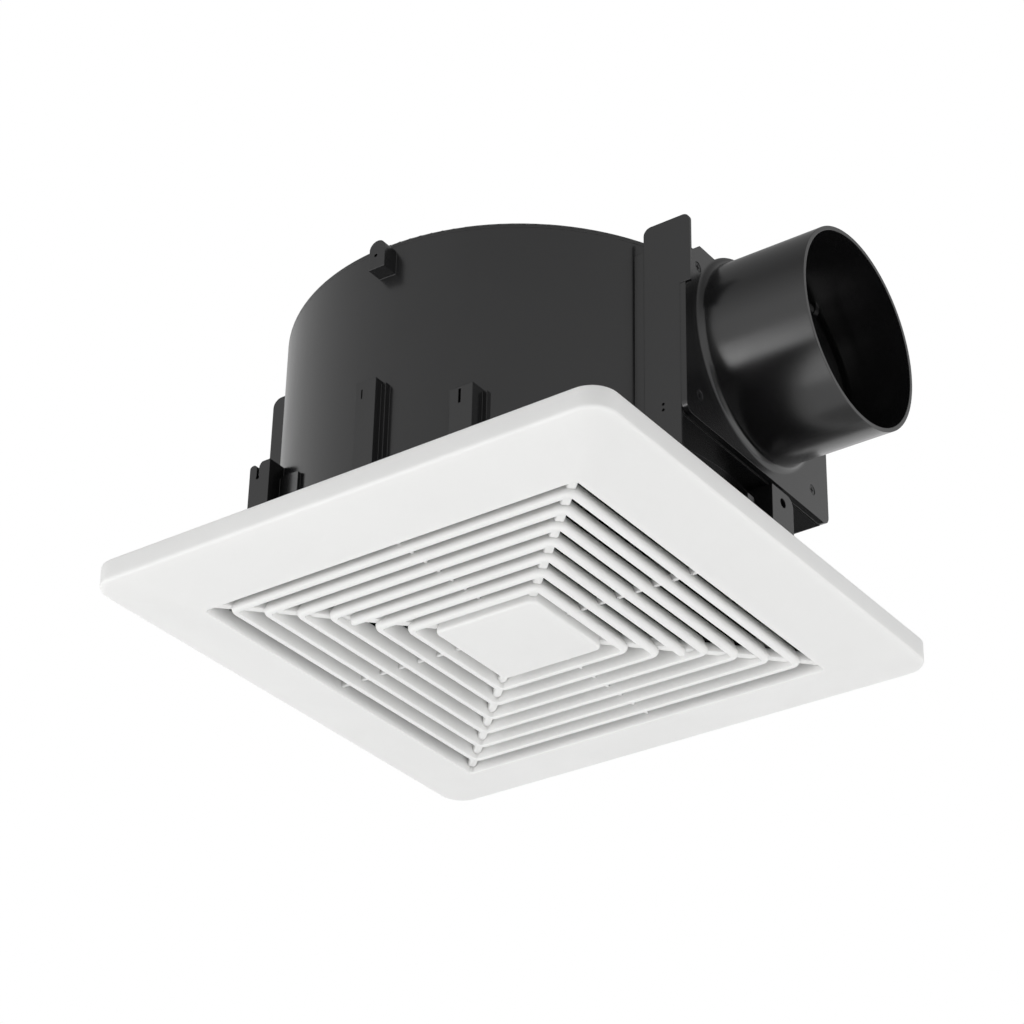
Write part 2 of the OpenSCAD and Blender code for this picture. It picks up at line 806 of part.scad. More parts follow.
// Side plates, back, top and floor of the wiring box
module wiring_outer() {
  plate_y = wiring_half + wiring_wall;
  for (side = [-1, 1])
    translate([0, side * (wiring_half + wiring_wall / 2), 0])
      rotate([90, 0, 0])
        linear_extrude(wiring_wall, center = true)
          union() {
            translate([-wiring_reach + wiring_corner_r, wiring_floor])
              square([wiring_reach - wiring_corner_r - wiring_back + back_wall, wiring_top - wiring_floor]);
            translate([-wiring_reach, wiring_floor + wiring_corner_r])
              square([wiring_corner_r + 1, wiring_top - wiring_floor - 2 * wiring_corner_r]);
            for (z = [wiring_floor + wiring_corner_r, wiring_top - wiring_corner_r])
              translate([-wiring_reach + wiring_corner_r, z]) circle(wiring_corner_r);
          }
  span_box([-wiring_back, -plate_y, wiring_floor], [-wiring_back + back_wall, plate_y, lid_z]);
  span_box([-wiring_cover_x + wiring_cover_t, -plate_y, wiring_floor], [-wiring_back, plate_y, wiring_floor + wiring_wall]);
  span_box([-wiring_cover_x + wiring_cover_t, -plate_y, wiring_inner_top], [-wiring_back, plate_y, lid_z]);
}

// The room inside the wiring box
module wiring_room() {
  span_box([-wiring_reach - cut, -wiring_half, wiring_floor + wiring_wall],
    [-wiring_back, wiring_half, wiring_inner_top]);
}

// Positions of the wiring cover's screws as [y, z]
wiring_screw_places = [
  [wiring_boss_y, wiring_inner_top - 8],
  [-wiring_boss_y, wiring_floor + wiring_wall + 7]
];

module casing_shell() {
  difference() {
    union() {
      translate([0, 0, -flange_t])
        rounded_block(2 * flange_half, 2 * flange_half, flange_t, flange_corner_r);
      translate([0, 0, -flange_t / 2]) cylinder(r = drum_r, h = lid_z + flange_t / 2);
      outlet_outer();
      for (side = [0, 1]) mirror([0, side, 0]) front_details();
      hanging_lugs();
      wiring_outer();
    }
    translate([0, 0, -flange_t - cut]) cylinder(r = bore_r, h = lid_z + flange_t + 2 * cut);
    translate([0, 0, lid_z]) cylinder(r = drum_r + clear, h = 3 * lid_t);
    outlet_inner();
    for (side = [0, 1]) mirror([0, side, 0]) front_hollows();
  }
}

module casing() {
  shelf_y = bore_r * 0.4;
  color(housing_black)
    difference() {
      union() {
        difference() {
          casing_shell();
          wiring_room();
        }
        intersection() {
          wiring_outer();
          translate([0, 0, -flange_t]) cylinder(r = bore_r + 0.5, h = lid_z + flange_t);
        }
        for (p = wiring_screw_places)
          translate([-wiring_cover_x + wiring_cover_t, p[0], p[1]])
            rotate([0, 90, 0]) cylinder(r = wiring_boss_r, h = wiring_cover_x - wiring_cover_t - wiring_back + 0.5);
        around(pillar_place_r, pillar_angles) translate([0, 0, floor_z]) cylinder(r = pillar_r, h = pillar_top - floor_z);
        around(pillar_place_r, [short_pillar_angle])
          translate([0, 0, pillar_top - short_pillar_h]) cylinder(r = pillar_r, h = short_pillar_h);
        intersection() {
          translate([0, 0, floor_z]) tube(bore_r + 0.5, bore_r - 8, outlet_floor + outlet_wall - floor_z);
          span_box([0, -shelf_y, 0], [drum_r, shelf_y, outlet_top]);
        }
        intersection() {
          outlet_bosses();
          outlet_outer();
        }
      }
      for (sx = [-1, 1], sy = [-1, 1])
        translate([sx * ceiling_screws_x / 2, sy * ceiling_screw_y, -flange_t - cut])
          cylinder(r = ceiling_screw_r, h = flange_t + 2 * cut);
      around(pillar_place_r, pillar_angles)
        translate([0, 0, floor_z - cut]) cylinder(r = screw_r + screw_fit, h = ring_bite + hole_spare + cut);
      around(pillar_place_r, pillar_angles)
        translate([0, 0, lid_z - lid_bite - hole_spare])
          cylinder(r = screw_r + screw_fit, h = lid_bite + hole_spare + cut);
      around(pillar_place_r, [short_pillar_angle])
        translate([0, 0, pillar_top - short_pillar_h - cut])
          cylinder(r = screw_r + screw_fit, h = short_pillar_h + 2 * cut);
      for (p = adaptor_screw_places)
        translate([outlet_reach - adaptor_bite - hole_spare, p[0], p[1]])
          rotate([0, 90, 0]) cylinder(r = screw_r + screw_fit, h = adaptor_bite + hole_spare + cut);
      for (p = wiring_screw_places)
        translate([-wiring_cover_x + wiring_cover_t - cut, p[0], p[1]])
          rotate([0, 90, 0]) cylinder(r = screw_r + screw_fit, h = wiring_bite + hole_spare + cut);
      translate([cable_x * -1, wiring_half - cut, cable_z])
        rotate([-90, 0, 0]) cylinder(r = bush_r, h = wiring_wall + 2 * cut);
      translate([-wiring_back - cut, 0, lead_z]) rotate([0, 90, 0]) cylinder(r = lead_r + 0.9, h = back_wall + 2 * cut);
      span_box([bracket_x0 - clear, outlet_y0 - bracket_t - clear, -flange_t - cut],
        [bracket_x0 + bracket_w + clear, outlet_y0 + clear, cut]);
      for (z = bracket_tongue_z)
        span_box([bracket_x0 + 4 - sliding_fit, outlet_y0 - cut, z - sliding_fit],
          [bracket_x0 + 10 + sliding_fit, outlet_y0 + outlet_wall + cut, z + 4 + sliding_fit]);
    }
}

// Side bracket: a flat plate against the outlet box, held by tongues in its wall
bracket_x0 = outlet_reach + gasket_t - bracket_w;
bracket_tongue_z = [outlet_floor + outlet_h * 0.25, outlet_floor + outlet_h * 0.65];
bracket_foot_in = 2;
bracket_front = face_x + 2.7;

module side_bracket() {
  r = bracket_corner_r;
  color(housing_black) {
    difference() {
      translate([0, outlet_y0, 0])
        rotate([90, 0, 0])
          linear_extrude(bracket_t)
            union() {
              translate([bracket_x0, clear]) square([bracket_w, bracket_step_z + 1 - clear]);
              translate([bracket_x0, bracket_step_z]) square([bracket_front - bracket_x0, bracket_top - r - bracket_step_z]);
              translate([bracket_x0 + r, bracket_step_z]) square([bracket_front - bracket_x0 - 2 * r, bracket_top - bracket_step_z]);
              for (x = [bracket_x0 + r, bracket_front - r]) translate([x, bracket_top - r]) circle(r);
            }
      for (z = [outlet_floor + 4, outlet_floor + 7])
        translate([bracket_x0 + 10, outlet_y0 + cut, z])
          rotate([90, 0, 0]) cylinder(r = 0.7, h = bracket_t + 2 * cut);
    }
    for (z = bracket_tongue_z)
      span_box([bracket_x0 + 4, outlet_y0 - 0.5, z], [bracket_x0 + 10, outlet_y0 + outlet_wall, z + 4]);
    span_box([bracket_x0 + bracket_foot_in, outlet_y0 - bracket_t, -flange_t / 2],
      [min(bracket_x0 + bracket_w - bracket_foot_in, foot_limit), outlet_y0, 2 * clear]);
  }
}

// Lid of the drum, with the posts and clips that hang from it
module top_cover() {
  r = lid_edge_r;
  dish = 1;
  dish_half = motor_screw_pcd_r + 9;
  color(housing_black) {
    difference() {
      union() {
        translate([0, 0, lid_z])
          rotate_extrude()
            intersection() {
              square([drum_r, lid_t]);
              union() {
                square([drum_r - r, lid_t]);
                square([drum_r, lid_t - r]);
                translate([drum_r - r, lid_t - r]) circle(r);
              }
            }
        around(motor_screw_pcd_r, motor_ear_angles)
          translate([0, 0, grommet_top]) cylinder(r = 5, h = lid_z - grommet_top + 0.5);
        for (x = clip_places) span_box([x - 2, -lead_r - 2, lead_z - lead_r - 1.6], [x + 2, lead_r + 2, lid_z + 0.5]);
      }
      translate([0, 0, drum_h - dish]) cylinder(r = dish_half, h = dish + cut);
      around(motor_screw_pcd_r, motor_ear_angles)
        translate([0, 0, grommet_top - cut]) cylinder(r = screw_r + screw_fit, h = motor_bite + 1 + cut);
      around(pillar_place_r, concat(pillar_angles, [short_pillar_angle]))
        translate([0, 0, lid_z - cut]) cylinder(r = screw_r + screw_fit, h = lid_t + 2 * cut);
      translate([clip_places[1] - 10, 0, lead_z]) rotate([0, 90, 0]) cylinder(r = lead_r + screw_fit, h = 40);
    }
    for (turn = [0:45:315])
      rotate(turn + 22.5) span_box([12, -1, drum_h - dish - 0.5], [dish_half - 2, 1, drum_h - 0.1]);
  }
}

module cover_screws() {
  color(zinc)
    around(pillar_place_r, concat(pillar_angles, [short_pillar_angle]))
      translate([0, 0, drum_h]) mirror([0, 0, 1]) screw(lid_t + lid_bite);
}

// Fan chamber

module inlet_ring() {
  color(housing_black)
    difference() {
      translate([0, 0, ring_z])
        rotate_extrude()
          union() {
            translate([throat_r + mouth_r, 0]) square([bore_r - clear - throat_r - mouth_r, ring_t]);
            intersection() {
              translate([throat_r + mouth_r, mouth_r])
                difference() {
                  circle(mouth_r);
                  circle(mouth_r - ring_t);
                }
              translate([throat_r, 0]) square([mouth_r, mouth_r]);
            }
          }
      around(pillar_place_r, pillar_angles)
        translate([0, 0, ring_z - cut]) cylinder(r = screw_r + screw_fit, h = ring_t + 2 * cut);
    }
}

module inlet_ring_screws() {
  color(zinc)
    around(pillar_place_r, pillar_angles)
      translate([0, 0, ring_z]) screw(ring_t + ring_bite);
}

function scroll_r(a) = scroll_r_start
  + (scroll_r_end - scroll_r_start) * pow((a - scroll_start) / (scroll_end - scroll_start), scroll_power);

module scroll_wall() {
  step = (scroll_end - scroll_start) / 48;
  inner = [for (i = [0:48]) let (a = scroll_start + i * step) scroll_r(a) * [cos(a), sin(a)]];
  outer = [for (i = [48:-1:0]) let (a = scroll_start + i * step) (scroll_r(a) + scroll_t) * [cos(a), sin(a)]];
  bite = 0.4;
  height = scroll_top - floor_z;
  tongue_in = (scroll_r_start + bite) * [cos(scroll_start + bite), sin(scroll_start + bite)];
  tongue_out = (scroll_r_start + scroll_t - bite) * [cos(scroll_start + 2), sin(scroll_start + 2)];
  wall_y = outlet_y1 - outlet_wall - 1;
  color(housing_black)
    difference() {
      translate([0, 0, floor_z]) {
        linear_extrude(height) polygon(concat(inner, outer));
        linear_extrude(height)
          polygon([tongue_in, [bore_r * 0.84, wall_y - scroll_t], [bore_r * 0.84, wall_y], tongue_out]);
      }
      span_box([-bore_r, -lead_r - 3, lead_z - lead_r - 2], [-scroll_r_start, lead_r + 3, lid_z]);
    }
}

// Impeller

blade_steps = 5;
function blade_angle(t) = blade_sweep * t * t;
function blade_point(t) = (blade_in_r + blade_depth * t) * [cos(blade_angle(t)), sin(blade_angle(t))];
function across(v) = [-v[1], v[0]] / norm(v);
function blade_normal(t) = across(blade_point(t + 0.01) - blade_point(t - 0.01));

module blade_outline() {
  polygon(concat(
    [for (i = [0:blade_steps]) let (t = i / blade_steps) blade_point(t) + blade_normal(t) * blade_t / 2],
    [for (i = [blade_steps:-1:0]) let (t = i / blade_steps) blade_point(t) - blade_normal(t) * blade_t / 2]
  ));
}

module impeller() {
  color(wheel_grey) {
    translate([0, 0, wheel_z]) tube(wheel_r, wheel_in_r, wheel_t);
    translate([0, 0, wheel_top - wheel_t]) tube(wheel_r, dish_r - 0.5, wheel_t);
    difference() {
      translate([0, 0, wheel_z + wheel_t / 2])
        linear_extrude(wheel_h - wheel_t)
          for (i = [0:blades - 1]) rotate(i * 360 / blades) blade_outline();
      translate([0, 0, wheel_z]) cylinder(r = wheel_in_r, h = mouth_centre_z + lip_gap - wheel_z);
    }
    difference() {
      union() {
        rotate_extrude()
          polygon([
            [0, disc_z],
            [dish_r - 1, disc_z],
            [dish_r + 1, wheel_top],
            [dish_r - 1, wheel_top],
            [dish_r - 2.6, disc_top],
            [0, disc_top]
          ]);
        translate([0, 0, hub_z]) cylinder(r = hub_r, h = disc_z - hub_z + 0.5);
        for (turn = [0:60:300])
          rotate(turn) span_box([hub_r - 1, -0.8, disc_z - 4], [dish_r - 6, 0.8, disc_z + 0.5]);
      }
      translate([0, 0, hub_z - cut]) cylinder(r = insert_r + joint_fit, h = disc_top - hub_z + 2 * cut);
    }
  }
}

module impeller_insert() {
  color(zinc)
    translate([0, 0, hub_z]) tube(insert_r, shaft_r + joint_fit, disc_top - hub_z);
}

module impeller_nut() {
  color(zinc)
    translate([0, 0, hub_z - nut_h])
      difference() {
        union() {
          cylinder(r = shaft_r + 2.6, h = nut_h - 1, $fn = 6);
          translate([0, 0, nut_h - 1]) cylinder(r = shaft_r + 3.2, h = 1);
        }
        translate([0, 0, -cut]) cylinder(r = shaft_r + joint_fit, h = nut_h + 2 * cut);
      }
}

module motor_shaft() {
  color(steel) {
    translate([0, 0, shaft_z]) cylinder(r1 = shaft_r - 0.5, r2 = shaft_r, h = 0.5);
    translate([0, 0, shaft_z + 0.5]) cylinder(r = shaft_r, h = motor_top - shell_t - shaft_z - 1);
  }
}

// Motor

module rotor_core() {
  color(steel)
    translate([0, 0, core_z]) {
      tube(rotor_r, shaft_r + joint_fit, core_h);
      translate([0, 0, -2]) tube(rotor_r - 2, rotor_r - 7, 2);
      translate([0, 0, core_h]) tube(rotor_r - 2, rotor_r - 7, 2);
    }
}

module stator_core() {
  slots = 12;
  slot_r = (core_r + rotor_r) / 2;
  color(steel)
    translate([0, 0, core_z])
      difference() {
        cylinder(r = core_r, h = core_h);
        translate([0, 0, -cut]) cylinder(r = rotor_r + 0.4, h = core_h + 2 * cut);
        for (i = [0:slots - 1])
          rotate(i * 360 / slots) span_box([rotor_r, -1, -cut], [slot_r + 3, 1, core_h + cut]);
      }
}

module stator_winding() {
  inner = rotor_r + 1.4;
  outer = core_r - 3;
  round_r = winding_h / 2;
  color(copper)
    for (z = [core_z - winding_h, core_z + core_h])
      translate([0, 0, z])
        rotate_extrude()
          union() {
            translate([inner + round_r, 0]) square([outer - inner - 2 * round_r, winding_h]);
            for (r = [inner + round_r, outer - round_r]) translate([r, round_r]) circle(round_r);
          }
}

// Cup with a bearing seat in its floor, floor at z = 0
module motor_cup(depth) {
  tube(motor_r, motor_r - shell_t, depth);
  tube(motor_r - shell_t / 2, shaft_r + 1.5, shell_t);
  tube(bearing_r + shell_t, bearing_r + joint_fit, shell_t + bearing_h);
}

module motor_lower_shell() {
  vents = 6;
  color(steel)
    difference() {
      translate([0, 0, motor_z]) motor_cup(motor_split - motor_z);
      for (i = [0:vents - 1])
        rotate(i * 360 / vents)
          span_box([bearing_r + 6, -3, motor_z - cut], [motor_r - 8, 3, motor_z + shell_t + cut]);
    }
}

module motor_upper_shell() {
  color(steel)
    difference() {
      union() {
        translate([0, 0, motor_top]) mirror([0, 0, 1]) motor_cup(motor_top - motor_split);
        for (angle = motor_ear_angles)
          rotate(angle)
            translate([0, 0, ear_z]) {
              span_box([motor_r - 0.6, -motor_ear_r, 0], [motor_screw_pcd_r, motor_ear_r, ear_plate_t]);
              translate([motor_screw_pcd_r, 0, 0]) cylinder(r = motor_ear_r, h = ear_plate_t);
            }
      }
      around(motor_screw_pcd_r, motor_ear_angles)
        translate([0, 0, ear_z - cut]) cylinder(r = grommet_neck_r, h = ear_plate_t + 2 * cut);
      translate([lead_out_x, 0, motor_top - shell_t - cut]) cylinder(r = lead_r + screw_fit, h = shell_t + 2 * cut);
    }
}

module bearing(z) {
  color(steel)
    translate([0, 0, z])
      difference() {
        tube(bearing_r, shaft_r + joint_fit, bearing_h);
        for (side = [-0.5, bearing_h - 0.5])
          translate([0, 0, side]) tube(bearing_r - 1.4, shaft_r + 1.4, 1);
      }
}

module upper_bearing() {
  bearing(motor_top - shell_t - bearing_h);
}

module lower_bearing() {
  bearing(motor_z + shell_t);
}

grommet_bottom = ear_z - grommet_flange_t;
grommet_top = ear_z + ear_plate_t + grommet_flange_t;

module motor_grommets() {
  color(rubber_black)
    around(motor_screw_pcd_r, motor_ear_angles)
      difference() {
        union() {
          translate([0, 0, grommet_bottom]) cylinder(r = grommet_flange_r, h = grommet_flange_t);
          translate([0, 0, ear_z - cut / 2]) cylinder(r = grommet_neck_r, h = ear_plate_t + cut);
          translate([0, 0, ear_z + ear_plate_t]) cylinder(r = grommet_flange_r, h = grommet_flange_t);
        }
        translate([0, 0, grommet_bottom - cut])
          cylinder(r = screw_r + screw_fit, h = grommet_top - grommet_bottom + 2 * cut);
      }
}

module motor_screws() {
  color(zinc)
    around(motor_screw_pcd_r, motor_ear_angles)
      translate([0, 0, grommet_bottom]) screw(grommet_top - grommet_bottom + motor_bite);
}

module thermal_fuse() {
  fuse_r = 1.5;
  color([0.85, 0.82, 0.75])
    translate([-5, -(rotor_r + core_r) / 2 + 1, core_z + core_h + winding_h + fuse_r])
      rotate([0, 90, 0]) {
        cylinder(r = fuse_r, h = 10);
        translate([0, 0, -2.5]) cylinder(r = 0.4, h = 15);
      }
}

// Lead from the motor along the lid to the wiring box
module motor_lead() {
  start_z = core_z + core_h + winding_h + 0.3;
  color([0.12, 0.12, 0.13]) {
    translate([lead_out_x, 0, start_z]) cylinder(r = lead_r, h = lead_z - lead_bend_r - start_z);
    translate([lead_out_x - lead_bend_r, 0, lead_z - lead_bend_r])
      rotate([90, 0, 0]) rotate_extrude(angle = 90) translate([lead_bend_r, 0]) circle(lead_r);
    translate([lead_in_x + lead_bend_r, 0, lead_z])
      rotate([0, 90, 0]) cylinder(r = lead_r, h = lead_out_x - lead_in_x - 2 * lead_bend_r);
    translate([lead_in_x + lead_bend_r, 0, lead_z - lead_bend_r])
      rotate([90, 0, 0]) rotate([0, 0, 90]) rotate_extrude(angle = 90) translate([lead_bend_r, 0]) circle(lead_r);
    translate([lead_in_x, 0, block_top]) cylinder(r = lead_r, h = lead_z - lead_bend_r - block_top);
  }
}

module lead_grommet() {
  flange_r = lead_r + 1.6;
  color(rubber_black)
    translate([-wiring_back - 1, 0, lead_z])
      rotate([0, 90, 0])
        difference() {
          union() {
            cylinder(r = flange_r, h = 1);
            cylinder(r = lead_r + 0.9, h = back_wall + 2);
            translate([0, 0, back_wall + 1]) cylinder(r = flange_r, h = 1);
          }
          translate([0, 0, -cut]) cylinder(r = lead_r + screw_fit, h = back_wall + 2 + 2 * cut);
        }
}

// Wiring box

module terminal_block() {
  ways = 3;
  pitch = 9;
  depth = 13;
  half = ways * pitch / 2;
  color([0.86, 0.86, 0.82])
    difference() {
      span_box([-wiring_back - depth, -half, block_top - block_h], [-wiring_back, half, block_top]);
      for (i = [0:ways - 1])
        translate([-wiring_back - depth - cut, (i - (ways - 1) / 2) * pitch, block_top - block_h / 2])
          for (dz = [-5, 5])
            translate([0, 0, dz]) rotate([0, 90, 0]) cylinder(r = 2, h = 4 + cut);
      for (i = [0:ways - 2])
        span_box([-wiring_back - depth - cut, (i + 1) * pitch - half - 0.5, block_top - block_h - cut],
          [-wiring_back - depth + 3, (i + 1) * pitch - half + 0.5, block_top + cut]);
    }
}

module capacitor() {
  can_r = 8;
  can_h = 38;
  color([0.90, 0.90, 0.88])
    translate([-wiring_back - can_r, wiring_half * 0.68, wiring_floor + wiring_wall]) {
      cylinder(r = can_r, h = can_h);
      for (side = [-1, 1])
        translate([0, side * 3.5, can_h - 0.5]) cylinder(r = 1.2, h = 6);
    }
}

module terminal_cover() {
  gap = clear;
  low = wiring_floor + wiring_wall;
  color(housing_black)
    difference() {
      union() {
        span_box([-wiring_cover_x, -wiring_half + gap, wiring_floor],
          [-wiring_cover_x + wiring_cover_t, wiring_half - gap, lid_z]);
        span_box([-wiring_reach, -wiring_half * 0.5, low + 14],
          [-wiring_cover_x + 0.5, wiring_half * 0.5, wiring_inner_top - 14]);
      }
      for (p = wiring_screw_places)
        translate([-wiring_cover_x - cut, p[0], p[1]])
          rotate([0, 90, 0]) cylinder(r = screw_r + screw_fit, h = wiring_cover_t + 2 * cut);
    }
}

module terminal_cover_screws() {
  color(zinc)
    for (p = wiring_screw_places)
      translate([-wiring_cover_x, p[0], p[1]]) rotate([0, 90, 0]) screw(wiring_cover_t + wiring_bite);
}

module cable_bush() {
  lip = 1.5;
  color(rubber_black)
    translate([-cable_x, wiring_half, cable_z])
      rotate([-90, 0, 0])
        difference() {
          union() {
            translate([0, 0, -lip]) cylinder(r = bush_flange_r, h = lip);
            translate([0, 0, -cut / 2]) cylinder(r = bush_r, h = wiring_wall + cut);
            translate([0, 0, wiring_wall]) cylinder(r = bush_flange_r, h = lip);
          }
          translate([0, 0, -lip - cut]) cylinder(r = cable_r, h = wiring_wall + 2 * lip + 2 * cut);
        }
}

// Duct adaptor

// Outline of the plate in [y, z]: its left edge steps in beside the bracket, and that corner is cut off
module plate_outline() {
  y0 = outlet_y0 - plate_side;
  y1 = outlet_y1 + plate_far_side;
  z0 = outlet_floor;
  r = plate_corner_r;
  step_y = outlet_y0 + clear;
  corner_cut = 11;
  difference() {
    union() {
      translate([y0, z0 + r]) square([y1 - y0, plate_top - z0 - r]);
      translate([y0 + r, z0]) square([y1 - y0 - 2 * r, r + 1]);
      for (y = [y0 + r, y1 - r]) translate([y, z0 + r]) circle(r);
    }
    polygon([
      [y0 - cut, bracket_step_z - clear],
      [step_y, bracket_step_z - clear],
      [step_y, plate_top - corner_cut * 0.85],
      [step_y + corner_cut, plate_top],
      [step_y + corner_cut, plate_top + cut],
      [y0 - cut, plate_top + cut]
    ]);
  }
}

// Turns an outline drawn in [y, z] to face +X, from x = 0
module facing_x(depth) {
  rotate([90, 0, 90]) linear_extrude(depth) children();
}

// Frame of the damper: origin on its pin, +X square to the closed flap, flap hanging along -Z
module at_damper() {
  translate([flap_x, pipe_shift, flap_z]) rotate([0, -flap_lean, 0]) children();
}

module pipe_body() {
  collar_r = pipe_r + root_fillet;
  translate([plate_x, pipe_shift, pipe_z])
    rotate([0, 90, 0]) {
      cylinder(r = pipe_r, h = mouth_x - plate_x);
      cylinder(r = collar_r, h = plate_t);
      translate([0, 0, plate_t])
        rotate_extrude()
          difference() {
            square([collar_r, root_fillet]);
            translate([collar_r, root_fillet]) circle(root_fillet);
          }
    }
}

module damper_seat() {
  front = -flap_t / 2 - seal_t - clear;
  at_damper()
    translate([front - seat_t, 0, -flap_drop])
      rotate([0, 90, 0]) tube(pipe_r + 1, seat_in_r, seat_t);
}

module damper_ears() {
  for (side = [0, 1])
    translate([flap_x, pipe_shift, flap_z])
      mirror([0, side, 0])
        translate([0, ear_y, 0]) {
          rotate([-90, 0, 0]) cylinder(r = ear_r, h = ear_t);
          translate([-ear_r, 0, 0]) cube([2 * ear_r, ear_t, pipe_r - pin_rise]);
        }
}

module duct_adaptor() {
  color(housing_black)
    difference() {
      union() {
        difference() {
          union() {
            translate([plate_x, 0, 0]) facing_x(plate_t) plate_outline();
            pipe_body();
          }
          intersection() {
            translate([plate_x - cut, pipe_shift, pipe_z])
              rotate([0, 90, 0]) cylinder(r = pipe_in_r, h = mouth_x - plate_x + 2 * cut);
            union() {
              span_box([plate_x - cut, outlet_y0, outlet_floor], [face_x + cut, outlet_y1, outlet_top - outlet_wall]);
              span_box([face_x, outlet_y0, 0], [mouth_x + cut, outlet_y1, 2 * pipe_z]);
            }
          }
        }
        intersection() {
          union() {
            damper_seat();
            damper_ears();
          }
          translate([face_x, pipe_shift, pipe_z])
            rotate([0, 90, 0]) cylinder(r = pipe_in_r + pipe_wall / 2, h = pipe_len);
        }
      }
      translate([flap_x, pipe_shift - ear_y - ear_t, flap_z])
        rotate([-90, 0, 0]) cylinder(r = pin_r + joint_fit, h = 2 * (ear_y + ear_t));
      for (p = adaptor_screw_places)
        translate([face_x - sunk, p[0], p[1]])
          rotate([0, 90, 0]) {
            cylinder(r = sunk_head_r + screw_fit, h = root_fillet + cut);
            translate([0, 0, -sunk_head_h])
              cylinder(r1 = screw_r, r2 = sunk_head_r + screw_fit, h = sunk_head_h);
            translate([0, 0, -plate_t - cut]) cylinder(r = screw_r + screw_fit, h = plate_t + 2 * cut);
          }
    }
}

module adaptor_gasket() {
  inner_w = outlet_w - 2 * outlet_wall;
  inner_h = outlet_h - 2 * outlet_wall;
  color(rubber_black)
    translate([outlet_reach, outlet_shift, outlet_floor + outlet_h / 2])
      difference() {
        facing_x(gasket_t) square([outlet_w, outlet_h], center = true);
        translate([-cut, 0, 0]) facing_x(gasket_t + 2 * cut) square([inner_w, inner_h], center = true);
      }
}

module adaptor_screws() {
  color(rubber_black)
    for (p = adaptor_screw_places)
      translate([face_x - sunk, p[0], p[1]]) rotate([0, -90, 0]) sunk_screw(plate_t + gasket_t + adaptor_bite);
}

module damper_flap() {
  chord = ear_r + 0.8;
  arm_half = 20;
  barrel_half = ear_y - clear;
  color(housing_black)
    at_damper()
      difference() {
        union() {
          difference() {
            translate([-flap_t / 2, 0, -flap_drop]) rotate([0, 90, 0]) cylinder(r = flap_r, h = flap_t);
            span_box([-cut - flap_t, -flap_r, -chord], [cut + flap_t, flap_r, 2 * flap_r]);
          }
          span_box([-flap_t / 2, -arm_half, -chord - 0.5], [flap_t / 2, arm_half, 0]);
          translate([0, -barrel_half, 0]) rotate([-90, 0, 0]) cylinder(r = barrel_r, h = 2 * barrel_half);
          translate([flap_t / 2 - 0.2, 0, -flap_drop]) rotate([0, 90, 0]) tube(flap_r * 0.6, flap_r * 0.6 - 1.2, 1.4);
          span_box([flap_t / 2 - 0.2, -0.6, -flap_drop - flap_r * 0.9], [flap_t / 2 + 1.2, 0.6, -chord]);
        }
        translate([0, -barrel_half - cut, 0])
          rotate([-90, 0, 0]) cylinder(r = pin_r + sliding_fit / 2, h = 2 * barrel_half + 2 * cut);
      }
}

module damper_pin() {
  color(steel)
    translate([flap_x, pipe_shift - ear_y - ear_t + 0.2, flap_z])
      rotate([-90, 0, 0]) cylinder(r = pin_r, h = 2 * (ear_y + ear_t) - 0.4);
}

module damper_seal() {
  color([0.30, 0.30, 0.31])
    at_damper()
      difference() {
        translate([-flap_t / 2 - seal_t, 0, -flap_drop]) rotate([0, 90, 0]) tube(flap_r - 0.5, flap_r - 6, seal_t);
        span_box([-flap_t - seal_t - cut, -flap_r, -ear_r - 0.8], [cut, flap_r, 2 * flap_r]);
      }
}

grille();
spring_front();
spring_rear();
casing();
top_cover();
cover_screws();
inlet_ring();
inlet_ring_screws();
scroll_wall();
impeller();
impeller_insert();
impeller_nut();
motor_shaft();
rotor_core();
stator_core();
stator_winding();
motor_upper_shell();
motor_lower_shell();
upper_bearing();
lower_bearing();
motor_grommets();
motor_screws();
thermal_fuse();
motor_lead();
lead_grommet();
terminal_block();
capacitor();
terminal_cover();
terminal_cover_screws();
cable_bush();
side_bracket();
duct_adaptor();
adaptor_gasket();
adaptor_screws();
damper_flap();
damper_pin();
damper_seal();
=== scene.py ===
"""Looks of a ceiling exhaust fan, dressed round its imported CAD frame.

The frame gives every solid its place. This script gives each of them its finish, builds the white
grille in full to stand for its plain solid, and sets the light, the floor and the camera. All sizes
are in the CAD frame: the ceiling's underside is z = 0, the drum stands above it and the duct leaves
along +X. Sizes in Grille are millimetres. Sizes in Finish and Studio, and the meshes, are metres.
"""

from __future__ import annotations

import json
import logging
import math
from dataclasses import dataclass
from enum import Enum
from typing import Callable, Iterable, Sequence

import bmesh
import bpy
from mathutils import Matrix, Vector

